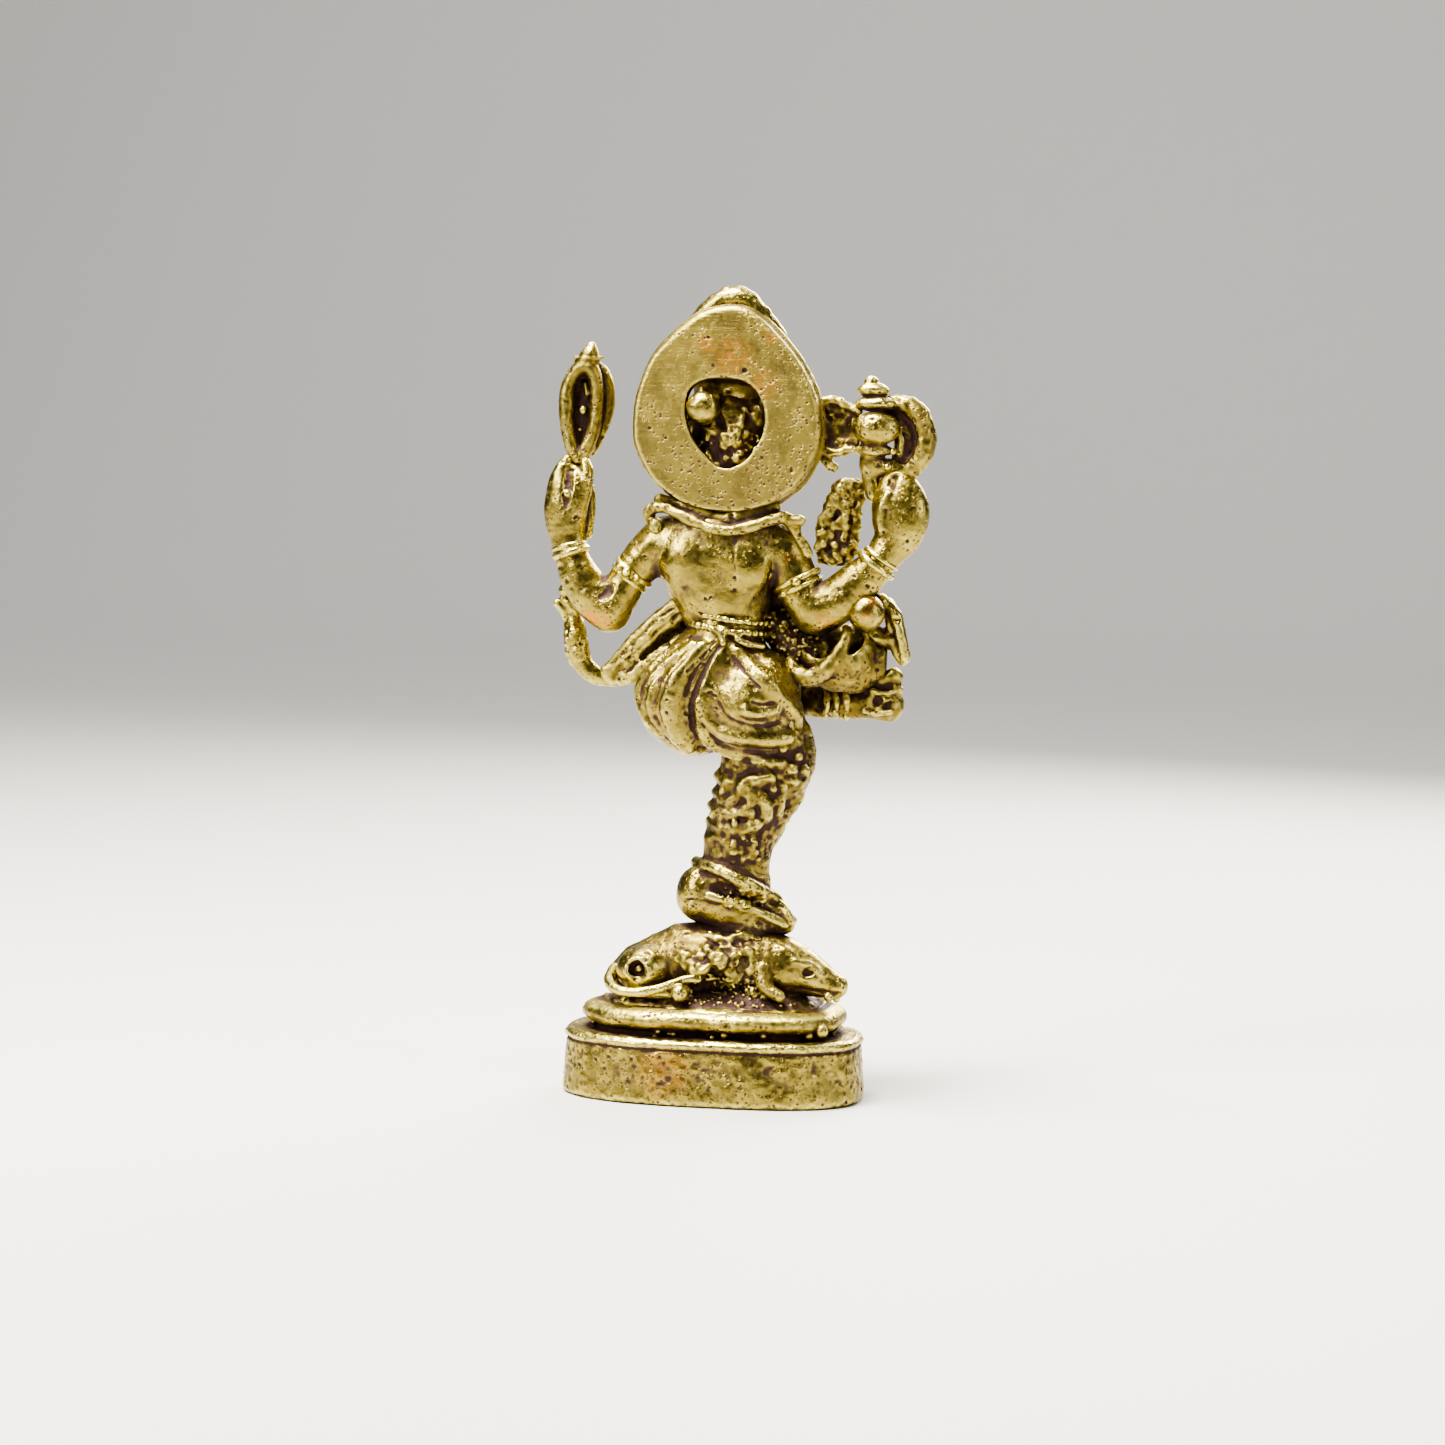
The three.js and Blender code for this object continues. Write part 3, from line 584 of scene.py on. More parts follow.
ratShape = {
    "back": [(4.0, 0.2, 5.2, 0.7), (3.0, 0.3, 5.5, 1.15), (1.4, 0.3, 5.8, 1.55), (-0.6, 0.3, 5.9, 1.6),
        (-2.6, 0.3, 5.75, 1.35), (-3.4, 0.35, 5.6, 1.05)],
    "foreleg": [(-2.2, 1.5, 5.7, 0.5), (-2.5, 1.95, 5.0, 0.36), (-3.1, 2.15, 4.7, 0.25)],
    "head": [(-2.7, 0.35, 6.0, 1.12), (-3.5, 0.45, 5.75, 1.05), (-4.3, 0.55, 5.42, 0.86),
        (-5.0, 0.6, 5.12, 0.66), (-5.35, 0.6, 5.0, 0.54)],
}


def ratWax(wax):
    limb(wax, ratShape["back"], blend=0.3, flat=1.05)
    egg(wax, (0.9, 0.3, 6.6), (1.3, 1.2, 0.8), blend=0.5)
    roughen(wax, 41, lumps=0.05, grit=0.02, pits=30)


ratBody = {"nodes": ["rat_body"], "middle": (0.46, 0.1, 5.89), "draw": ratWax, "finish": patinatedBrass,
    "onto": [baseGround]}
cast("rat_body", ratBody)


def haunchWax(wax):
    egg(wax, (2.95, 1.25, 5.5), (1.25, 1.25, 1.05), turn=-8, blend=0.3)
    limb(wax, [(3.3, 1.9, 4.75, 0.35), (2.4, 2.2, 4.6, 0.3), (1.7, 2.3, 4.62, 0.24)], blend=0.2)
    beads(wax, [(3.15, 5.62, 0.5)], lift=-0.15, carve=True, blend=0.12)      # a sunk ring with a bead in it
    trace(wax, [(3.6, 5.65, 0.1), (3.4, 6.0, 0.1), (3.0, 6.08, 0.1), (2.7, 5.75, 0.1), (2.8, 5.3, 0.1),
        (3.2, 5.2, 0.1), (3.55, 5.35, 0.1)], lift=0.4, closed=True)
    beads(wax, [(3.1, 5.6, 0.2)], lift=0.3)
    roughen(wax, 45, lumps=0.03, grit=0.01, pits=14)


ratRightHaunch = {"nodes": ["rat_right_haunch"], "middle": (2.79, 1.96, 5.58), "draw": haunchWax,
    "finish": polishedBrass, "onto": [ratBody]}
cast("rat_right_haunch", ratRightHaunch)


def otherHaunchWax(wax):
    egg(wax, (2.9, -1.3, 5.5), (1.3, 1.2, 1.05), turn=-8, blend=0.3)
    limb(wax, [(3.3, -1.9, 4.75, 0.35), (2.4, -2.2, 4.6, 0.3), (1.7, -2.3, 4.62, 0.24)], blend=0.2)
    roughen(wax, 46, lumps=0.03, grit=0.01, pits=14)


ratLeftHaunch = {"nodes": ["rat_left_haunch"], "middle": (2.79, -1.92, 5.58), "draw": otherHaunchWax,
    "finish": polishedBrass, "onto": [ratBody]}
cast("rat_left_haunch", ratLeftHaunch)


def forelegWax(side):
    def draw(wax):
        y = np.array([1, side, 1, 1]) if side < 0 else np.ones(4)
        limb(wax, [tuple(np.array(s) * y) for s in ratShape["foreleg"]], blend=0.2)
        roughen(wax, 47 + side, lumps=0.03, grit=0.015, pits=6)
    return draw


ratRightForeleg = {"nodes": ["rat_right_foreleg"], "middle": (-2.18, 1.98, 5.38), "draw": forelegWax(1),
    "finish": patinatedBrass}
cast("rat_right_foreleg", ratRightForeleg)

ratLeftForeleg = {"nodes": ["rat_left_foreleg"], "middle": (-2.17, -1.91, 5.42), "draw": forelegWax(-1),
    "finish": patinatedBrass}
cast("rat_left_foreleg", ratLeftForeleg)


def tailWax(wax):
    # the tail lies round the haunch and runs forward under it to a small fork
    limb(wax, [(4.35, 0.9, 5.35, 0.3), (4.45, 1.7, 5.0, 0.25), (4.0, 2.45, 4.72, 0.22),
        (3.2, 2.75, 4.66, 0.21), (2.3, 2.75, 4.8, 0.21),
               (1.5, 2.62, 5.08, 0.2), (0.95, 2.55, 5.3, 0.17), (0.4, 2.5, 5.28,
                   0.12)], blend=0.1, flat=0.85)
    limb(wax, [(0.95, 2.55, 5.3, 0.14), (0.6, 2.5, 5.42, 0.1), (0.35, 2.45, 5.5, 0.06)], blend=0.1)
    egg(wax, (1.18, 2.72, 4.72), (0.4, 0.4, 0.4), blend=0.05)
    roughen(wax, 51, lumps=0.02, grit=0.01, pits=8)


ratTail = {"nodes": ["rat_tail"], "middle": (4.33, 1.59, 4.82), "draw": tailWax, "finish": polishedBrass,
    "room": (3.4, 0.7, 0.7)}
cast("rat_tail", ratTail)


def ratHeadWax(wax):
    limb(wax, ratShape["head"], blend=0.25)
    egg(wax, (-3.1, 1.2, 6.45), (0.42, 0.25, 0.3), turn=20, blend=0.2)
    egg(wax, (-3.1, -0.5, 6.45), (0.42, 0.25, 0.3), turn=20, blend=0.2)
    egg(wax, (-4.25, 1.35, 5.72), (0.36, 0.3, 0.22), turn=-25, carve=True, blend=0.18)
    beads(wax, [(-4.25, 5.72, 0.13)], lift=0.1)
    trace(wax, [(-3.6, 6.15, 0.12), (-4.2, 6.0, 0.13), (-4.8, 5.6, 0.1)], lift=0.2, blend=0.2)
    trace(wax, [(-3.4, 5.0, 0.1), (-4.2, 4.9, 0.1), (-5.0, 4.78, 0.09), (-5.6, 4.75, 0.07)], lift=0.4,
        carve=True, blend=0.15)
    beads(wax, [(-5.1, 4.62, 0.22), (-5.42, 4.5, 0.17)], lift=0.2)
    roughen(wax, 55, lumps=0.04, grit=0.014, pits=16)


ratHead = {"nodes": ["rat_head"], "middle": (-4.24, 0.2, 5.73), "draw": ratHeadWax, "finish": polishedBrass,
    "onto": [ratBody]}
cast("rat_head", ratHead)


def saddleWax(wax):
    # a cloth over the back with a lumpy, ragged fringe
    egg(wax, (-0.5, 0.2, 6.05), (2.35, 1.75, 1.35), blend=0.3)
    limb(wax, [(1.5, 1.3, 6.6, 0.3), (0.9, 1.75, 5.9, 0.3), (0.6, 1.95, 5.4, 0.26)], blend=0.25)
    trace(wax, [(0.95, 6.9, 0.2), (0.2, 7.05, 0.22), (-0.57, 6.92, 0.2), (-1.35, 7.1, 0.22),
        (-2.1, 6.8, 0.2), (-2.6, 6.4, 0.18)], lift=0.3, fallback=1.2, blend=0.2)
    trace(wax, [(1.3, 6.2, 0.22), (0.6, 6.0, 0.26), (0.0, 6.3, 0.24), (-0.5, 5.95, 0.26), (-1.1, 6.1, 0.2)],
        lift=0.2, blend=0.2)
    trace(wax, [(-1.7, 6.5, 0.26), (-1.95, 6.0, 0.28), (-1.7, 5.6, 0.26), (-1.4, 5.4, 0.2)], lift=0.2,
        blend=0.2)
    trace(wax, [(-2.3, 6.2, 0.2), (-2.4, 5.7, 0.22), (-2.2, 5.3, 0.2)], lift=0.2, blend=0.2)
    beads(wax, [(-0.43, 6.15, 0.38), (0.55, 5.55, 0.28), (-0.1, 5.45, 0.22), (-0.8, 5.5, 0.28),
        (-1.2, 6.35, 0.24), (0.3, 6.6, 0.24), (-0.9, 5.2, 0.2), (-0.6, 6.6, 0.2)], lift=0.1, blend=0.16)
    beads(wax, [(0.39, 5.64, 0.2), (0.05, 7.3, 0.14), (0.9, 6.6, 0.12)], lift=0.4)
    for x in np.arange(-2.3, 1.5, 0.36):                                # hanging fringe
        trace(wax, [(x, 5.5 + 0.2 * math.sin(x * 5), 0.15), (x + 0.1 * math.sin(x * 9), 5.1, 0.16),
            (x - 0.05, 4.75, 0.12)], lift=0.1, fallback=1.9, blend=0.16)
    cobble(wax, (-2.6, 1.0, 4.7), (1.4, 2.6, 6.8), 0.14, 63, height=0.35, blend=0.12)
    roughen(wax, 61, lumps=0.1, grit=0.06, pits=80, pitSize=(0.06, 0.12))
    cobble(wax, (-2.6, 1.4, 4.7), (-0.4, 2.6, 5.4), 0.1, 62)


ratSaddle = {"nodes": ["rat_saddle"], "middle": (-0.41, 0.1, 6.11), "draw": saddleWax,
    "finish": patinatedBrass}
cast("rat_saddle", ratSaddle)


legShape = {
    "thigh": [(-1.5, 0.1, 17.0, 1.9), (-2.1, 0.1, 15.8, 1.7), (-2.35, 0.0, 14.7, 1.55),
        (-2.3, 0.0, 14.1, 1.45)],
    "shin": [(-1.75, 0.0, 14.6, 1.75), (-1.65, 0.0, 13.6, 1.7), (-1.35, 0.05, 12.5, 1.6),
        (-1.05, 0.1, 11.4, 1.5), (-0.85, 0.15, 10.5, 1.38)],
    "ankle": [(-0.85, 0.15, 11.2, 1.45), (-0.82, 0.2, 10.3, 1.42), (-0.8, 0.25, 9.4, 1.5),
        (-0.78, 0.3, 8.7, 1.45)],
    "foot": [(0.75, 0.35, 8.55, 0.95), (-0.3, 0.35, 8.45, 1.05), (-1.5, 0.3, 8.1, 0.9),
        (-2.6, 0.2, 7.75, 0.6), (-3.0, 0.2, 7.6, 0.42)],
}


def thighWax(wax):
    limb(wax, legShape["thigh"], blend=0.3, flat=0.95)
    limb(wax, [(-3.0, -0.2, 15.6, 0.95), (-3.45, -0.1, 14.7, 0.68), (-3.3, 0.0, 14.0, 0.6)], blend=0.4)
    beads(wax, [(-3.5, 15.0, 0.2), (-3.2, 14.5, 0.24), (-3.7, 14.4, 0.2), (-2.9, 15.3, 0.18),
        (-3.3, 13.95, 0.2)], lift=0.1, blend=0.2)
    trace(wax, [(-1.0, 14.9, 0.16), (-1.9, 14.75, 0.18), (-2.9, 14.8, 0.16)], lift=0.1, blend=0.2)
    roughen(wax, 71, lumps=0.08, grit=0.045, pits=50)


standingThigh = {"nodes": ["standing_thigh"], "middle": (-1.71, -0.05, 15.44), "draw": thighWax,
    "finish": patinatedBrass}
cast("standing_thigh", standingThigh)


def shinWax(wax):
    limb(wax, legShape["shin"], blend=0.3, flat=0.92)
    limb(wax, [(-3.25, -0.1, 14.3, 0.72), (-3.1, -0.1, 13.4, 0.6), (-2.6, 0.0, 12.3, 0.5),
        (-2.0, 0.1, 11.3, 0.4)], blend=0.4)
    # the gathered cuff: winding ridges that run into each other
    soft = {"lift": 0.1, "blend": 0.24}
    trace(wax, [(0.1, 14.0, 0.24), (-0.6, 13.7, 0.28), (-1.5, 13.85, 0.3), (-2.4, 14.1, 0.26)], **soft)
    trace(wax, [(0.15, 13.3, 0.24), (-0.5, 12.95, 0.28), (-1.0, 13.3, 0.24), (-1.1, 13.7, 0.2)], **soft)
    trace(wax, [(-1.5, 13.4, 0.3), (-2.05, 13.1, 0.34), (-2.15, 12.5, 0.32), (-1.7, 12.1, 0.24)], **soft)
    trace(wax, [(0.3, 12.7, 0.24), (-0.4, 12.4, 0.3), (-1.1, 12.5, 0.28), (-1.5, 12.9, 0.22)], **soft)
    trace(wax, [(-2.9, 13.7, 0.24), (-2.75, 13.0, 0.26), (-2.7, 12.5, 0.22)], **soft)
    trace(wax, [(0.4, 12.0, 0.22), (-0.3, 11.75, 0.28), (-1.2, 11.8, 0.28), (-1.9, 12.0, 0.22)], **soft)
    trace(wax, [(0.45, 11.35, 0.18), (-0.1, 11.4, 0.2), (-0.8, 11.1, 0.2)], **soft)
    beads(wax, [(-0.3, 13.4, 0.2), (-0.9, 12.1, 0.18), (0.1, 12.35, 0.16), (-1.6, 12.5, 0.16),
        (-2.5, 13.6, 0.2), (-1.7, 11.4, 0.16)], lift=0.2, blend=0.15)
    cobble(wax, (-2.2, 0.6, 10.6), (-0.6, 1.9, 11.4), 0.12, 83)
    roughen(wax, 81, lumps=0.1, grit=0.05, pits=60, pitSize=(0.06, 0.12))


def footWax(wax):
    limb(wax, legShape["ankle"], blend=0.3, flat=0.9)
    limb(wax, legShape["foot"], blend=0.35, flat=1.1)
    egg(wax, (0.8, 0.5, 9.0), (0.9, 0.95, 1.05), blend=0.4)
    # two bands run from the heel down across the foot, with a rough hollow between
    trace(wax, [(-0.2, 9.2, 0.3), (-1.0, 8.9, 0.34), (-1.9, 8.45, 0.3), (-2.7, 7.95, 0.2)], lift=0.0,
        carve=True, blend=0.2)
    trace(wax, [(1.0, 10.15, 0.24), (0.3, 10.1, 0.26), (-0.5, 9.9, 0.28), (-1.4, 9.5, 0.3),
        (-2.2, 8.95, 0.3), (-2.85, 8.35, 0.26), (-3.3, 7.8, 0.22)], lift=0.4, blend=0.14)
    trace(wax, [(0.2, 8.9, 0.18), (-1.1, 8.5, 0.22), (-2.2, 8.05, 0.22), (-3.05, 7.65, 0.2)], lift=0.4,
        blend=0.14)
    trace(wax, [(1.45, 8.6, 0.06), (0.6, 8.66, 0.07), (-0.3, 8.5, 0.06)], lift=0.3, carve=True, blend=0.06)
    cobble(wax, (-2.2, 0.8, 8.5), (-0.4, 2.2, 9.2), 0.11, 92)
    for x in (-2.3, -2.6, -2.9):                                         # toes, in front
        limb(wax, [(x, -0.4, 8.0, 0.3), (x - 0.25, -0.9, 7.6, 0.26)], blend=0.1)
    roughen(wax, 91, lumps=0.05, grit=0.025, pits=50)


standingFoot = {"nodes": ["standing_foot", "standing_ankle", "standing_anklet"],
    "middle": (-0.81, 0.35, 9.36), "draw": footWax, "finish": polishedBrass, "onto": [ratSaddle]}
cast("standing_foot", standingFoot, reach=0.5, fillet=0.7)

standingShin = {"nodes": ["standing_shin"], "middle": (-1.52, -0.23, 12.77), "draw": shinWax,
    "finish": patinatedBrass, "onto": [standingFoot]}
cast("standing_shin", standingShin)


def raisedThighWax(wax):
    limb(wax, [(1.6, -0.3, 17.9, 1.6), (2.0, -1.6, 18.0, 1.5), (1.9, -2.9, 18.0, 1.3),
        (1.3, -3.7, 18.0, 1.15)], blend=0.3)
    for k in range(4):                                                   # trouser folds across the thigh
        y = -0.9 - 0.75 * k
        limb(wax, [(3.2 - 0.2 * k, y, 18.6, 0.16), (2.2 - 0.2 * k, y - 0.15, 19.3, 0.18),
            (1.0 - 0.2 * k, y, 19.0, 0.16)], blend=0.15)
    roughen(wax, 101, lumps=0.05, grit=0.02, pits=30)


def raisedShinWax(wax):
    limb(wax, [(1.2, -3.5, 18.0, 1.15), (-0.6, -3.3, 17.9, 0.98), (-2.6, -2.4, 17.5, 0.85),
        (-4.2, -1.7, 17.25, 0.75), (-5.4, -1.2, 17.3, 0.68)], blend=0.3)
    for k, x in enumerate((-4.4, -4.85, -5.3)):
        limb(wax, [(x, -0.85 + 0.12 * k, 17.9, 0.15), (x - 0.1, -0.6 + 0.1 * k, 17.3, 0.16),
            (x, -0.85, 16.7, 0.15)], blend=0.1)
    roughen(wax, 111, lumps=0.07, grit=0.045, pits=60, pitSize=(0.07, 0.15))


raisedShin = {"nodes": ["raised_shin", "raised_anklet"], "middle": (-2.39, -2.81, 17.93),
    "draw": raisedShinWax, "finish": patinatedBrass}
cast("raised_shin", raisedShin)


def raisedFootWax(wax):
    limb(wax, [(-4.9, -1.3, 17.25, 0.65), (-6.1, -0.95, 17.3, 0.7), (-6.9, -0.8, 17.35, 0.8),
        (-7.2, -0.85, 17.25, 0.7)], blend=0.3)
    limb(wax, [(-6.4, -0.7, 17.9, 0.42), (-7.0, -0.6, 18.35, 0.36), (-7.4, -0.55, 18.55, 0.38)], blend=0.2)
    limb(wax, [(-7.1, -0.5, 17.7, 0.3), (-7.5, -0.5, 18.0, 0.3)], blend=0.15)
    trace(wax, [(-6.5, 17.9, 0.12), (-6.9, 17.75, 0.14), (-7.4, 17.9, 0.12)], lift=0.3, fallback=-0.2)
    beads(wax, [(-6.75, 17.45, 0.26), (-7.2, 17.2, 0.24)], lift=0.1, carve=True, blend=0.1)
    trace(wax, [(-6.2, 17.0, 0.12), (-6.8, 16.9, 0.14), (-7.4, 17.0, 0.12)], lift=0.4, fallback=-0.3)
    roughen(wax, 121, lumps=0.05, grit=0.03, pits=24)


raisedFoot = {"nodes": ["raised_foot"], "middle": (-6.14, -1.07, 17.72), "draw": raisedFootWax,
    "finish": patinatedBrass}
cast("raised_foot", raisedFoot)


def dhotiWax(wax):
    limb(wax, [(-0.12, 0.0, 20.5, 1.62), (0.0, 0.0, 19.7, 1.72), (0.3, 0.05, 18.8, 2.05),
        (0.6, 0.1, 17.9, 2.15)], blend=0.3, flat=0.9)
    egg(wax, (1.75, 0.1, 17.5), (1.95, 1.9, 2.3), turn=18, blend=0.6)
    egg(wax, (1.2, 0.2, 16.3), (1.5, 1.65, 1.55), blend=0.5)
    egg(wax, (-1.35, 0.3, 17.2), (2.0, 2.15, 2.45), turn=28, blend=0.6)
    egg(wax, (-2.0, 0.2, 16.0), (1.7, 1.7, 1.4), blend=0.5)
    # the deep fold between the two sides
    trace(wax, [(-0.2, 19.9, 0.072), (0.25, 19.3, 0.101), (0.72, 18.3, 0.122), (1.02, 17.2, 0.13),
        (1.0, 16.2, 0.115), (0.6, 15.5, 0.101), (0.1, 15.1, 0.086)], lift=0.1, carve=True, blend=0.14)
    # left side: a broad pleat beside the fold, then narrower ones fanning from the waist
    trace(wax, [(0.75, 19.6, 0.24), (1.35, 18.9, 0.4), (1.88, 18.0, 0.56), (2.0, 16.9, 0.6),
        (1.7, 16.0, 0.5), (1.3, 15.3, 0.34)], lift=-0.15, blend=0.3)
    trace(wax, [(1.2, 19.7, 0.2), (2.15, 18.9, 0.3), (2.8, 18.0, 0.34), (2.95, 17.0, 0.34),
        (2.55, 16.0, 0.28)], lift=0.0, blend=0.28)
    trace(wax, [(1.5, 19.8, 0.18), (2.6, 19.0, 0.26), (3.35, 18.1, 0.28), (3.45, 17.2, 0.26),
        (3.0, 16.3, 0.22)], lift=0.05, blend=0.25, fallback=0.5)
    trace(wax, [(1.3, 19.3, 0.043), (2.05, 18.4, 0.065), (2.46, 17.4, 0.072), (2.42, 16.5, 0.065),
        (2.0, 15.7, 0.043)], lift=0.2, carve=True, blend=0.14)
    trace(wax, [(1.9, 19.2, 0.043), (2.75, 18.4, 0.058), (3.15, 17.5, 0.065), (3.0, 16.5, 0.058),
        (2.5, 15.8, 0.043)], lift=0.2, carve=True, blend=0.14)
    trace(wax, [(0.5, 19.4, 0.036), (1.0, 18.5, 0.05), (1.32, 17.6, 0.043)], lift=0.1, carve=True,
        blend=0.14)
    trace(wax, [(0.15, 19.9, 0.036), (0.75, 19.2, 0.036), (1.3, 18.6, 0.035)], lift=0.1, carve=True,
        blend=0.14)
    # right side: a smooth round, a slight hollow low on it, and soft folds sweeping round under it
    trace(wax, [(-0.8, 19.5, 0.16), (-1.6, 18.7, 0.24), (-2.4, 18.0, 0.3), (-3.0, 17.3, 0.26),
        (-3.4, 16.7, 0.18)], lift=-0.3, blend=0.35)
    trace(wax, [(-0.6, 19.3, 0.035), (-1.2, 18.6, 0.036), (-1.9, 18.0, 0.035)], lift=0.1, carve=True,
        blend=0.14)
    trace(wax, [(-1.6, 17.4, 0.036), (-2.05, 17.25, 0.072), (-2.5, 17.35, 0.036)], lift=0.3, carve=True,
        blend=0.14)
    trace(wax, [(-1.4, 17.0, 0.16), (-1.95, 16.9, 0.2), (-2.6, 17.05, 0.16)], lift=-0.3, blend=0.3)
    trace(wax, [(0.75, 17.2, 0.16), (0.5, 16.6, 0.24), (-0.2, 16.1, 0.3), (-1.1, 15.8, 0.3),
        (-2.2, 15.75, 0.28), (-3.1, 15.85, 0.2)], lift=-0.25, blend=0.35)
    trace(wax, [(0.6, 16.3, 0.036), (0.05, 15.75, 0.043), (-0.9, 15.45, 0.05), (-2.0, 15.35, 0.043),
        (-3.0, 15.45, 0.036)], lift=0.2, carve=True, blend=0.14)
    trace(wax, [(0.7, 16.1, 0.18), (0.35, 15.55, 0.24), (-0.5, 15.1, 0.26), (-1.6, 14.9, 0.26),
        (-2.7, 15.0, 0.22)], lift=-0.05, blend=0.3, fallback=1.2)
    trace(wax, [(0.3, 15.2, 0.035), (-0.6, 14.95, 0.036), (-1.6, 14.85, 0.036), (-2.6, 15.0, 0.035)],
        lift=0.3, carve=True, blend=0.14, fallback=1.2)
    trace(wax, [(-0.1, 17.3, 0.035), (-0.5, 16.75, 0.043), (-1.2, 16.45, 0.05), (-2.0, 16.35, 0.043),
        (-2.8, 16.5, 0.036)], lift=0.2, carve=True, blend=0.14)
    trace(wax, [(-0.9, 16.8, 0.035), (-1.5, 16.6, 0.036), (-2.2, 16.6, 0.035)], lift=0.2, carve=True,
        blend=0.14)
    # the front has a hanging panel and folds of its own
    limb(wax, [(0.2, -1.6, 19.6, 0.5), (0.1, -2.0, 18.4, 0.5), (0.0, -1.9, 17.0, 0.45),
        (-0.1, -1.7, 15.9, 0.35)], blend=0.25)
    for x in (-2.6, -1.9, -1.2):
        trace(wax, [(x, 19.0, 0.16), (x - 0.25, 17.6, 0.2), (x - 0.1, 16.0, 0.16)], lift=0.3, way=-1)
    roughen(wax, 131, lumps=0.05, grit=0.016, pits=90, pitSize=(0.04, 0.09))


dhoti = {"nodes": ["dhoti"], "middle": (0.12, 0.16, 18.36), "draw": dhotiWax, "finish": polishedBrass}
cast("dhoti", dhoti)

raisedThigh = {"nodes": ["raised_thigh"], "middle": (2.04, -2.23, 17.84), "draw": raisedThighWax,
    "finish": satinBrass, "onto": [dhoti]}
cast("raised_thigh", raisedThigh)


def beltWax(wax):
    # a flat band between two fine beaded cords, tied at the back
    limb(wax, [(-0.2, 0.0, 20.2, 1.44), (-0.2, 0.0, 21.0, 1.44)], blend=0.15, flat=0.88)
    for z, thick in ((20.86, 0.13), (20.38, 0.16)):
        ring = [(-0.2 + 1.66 * math.cos(a), 1.48 * math.sin(a),
            z + 0.22 * math.cos(a) + 0.04 * math.sin(3 * a), thick)
                for a in np.linspace(0, 2 * math.pi, 16, endpoint=False)]
        limb(wax, ring, blend=0.1, closed=True)
        for a in np.arange(0, 2 * math.pi, 0.2):
            spot = (-0.2 + 1.74 * math.cos(a), 1.56 * math.sin(a),
                z + 0.22 * math.cos(a) + 0.04 * math.sin(3 * a))
            egg(wax, spot, (0.12, 0.12, thick), blend=0.08)
    limb(wax, [(-0.75, 1.5, 20.05, 0.15), (-1.2, 1.35, 19.8, 0.17), (-1.8, 0.95, 19.7, 0.17)], blend=0.12)
    egg(wax, (-0.08, 1.55, 20.35), (0.3, 0.25, 0.28), blend=0.15)
    limb(wax, [(-0.1, 1.65, 20.15, 0.14), (-0.18, 1.75, 19.85, 0.13)], blend=0.12)
    egg(wax, (0.42, 1.68, 20.05), (0.16, 0.25, 0.16), blend=0.08, carve=True)
    roughen(wax, 141, lumps=0.045, grit=0.025, pits=24)


belt = {"nodes": ["belt", "belt_knot"], "middle": (-0.06, -0.18, 20.62), "draw": beltWax,
    "finish": polishedBrass}
cast("belt", belt)


torsoShape = {
    "trunk": [(-0.15, 0.0, 20.3, 1.6), (0.0, 0.0, 21.3, 1.85), (0.25, 0.0, 22.4, 2.3),
        (0.4, 0.0, 23.4, 2.55), (0.4, 0.0, 24.0, 2.2)],
    "shoulders": [(3.0, 0.15, 24.0, 0.9), (1.6, 0.15, 24.35, 1.15), (0.3, 0.1, 24.6, 1.2),
        (-1.2, 0.15, 24.3, 1.15), (-2.5, 0.15, 23.9, 0.95)],
}


def torsoWax(wax):
    limb(wax, torsoShape["trunk"], blend=0.3, flat=0.72)
    limb(wax, torsoShape["shoulders"], blend=0.5, flat=1.05)
    egg(wax, (0.1, -1.35, 21.9), (2.15, 1.85, 2.0), blend=0.6)
    egg(wax, (1.3, -1.2, 23.6), (1.15, 0.8, 0.9), blend=0.4)
    egg(wax, (-0.9, -1.2, 23.5), (1.15, 0.8, 0.9), blend=0.4)
    limb(wax, [(0.35, 0.0, 24.5, 1.15), (0.35, -0.1, 26.2, 1.1)], blend=0.4)
    egg(wax, (1.7, 1.0, 23.3), (1.0, 0.8, 1.0), turn=15, blend=0.6)
    egg(wax, (-1.1, 1.0, 23.2), (1.0, 0.8, 1.1), turn=-15, blend=0.6)
    egg(wax, (0.1, 1.0, 21.9), (1.2, 0.6, 1.0), blend=0.5)
    trace(wax, [(-0.55, 24.2, 0.04), (-0.6, 23.4, 0.05), (-0.65, 22.7, 0.03)], lift=0.5, carve=True,
        blend=0.06)
    egg(wax, (0.1, -3.15, 21.6), (0.16, 0.2, 0.16), blend=0.08, carve=True)
    roughen(wax, 151, lumps=0.05, grit=0.014, pits=90, pitSize=(0.04, 0.08))


torso = {"nodes": ["torso"], "middle": (0.33, -0.58, 23.23), "draw": torsoWax, "finish": polishedBrass}
cast("torso", torso)


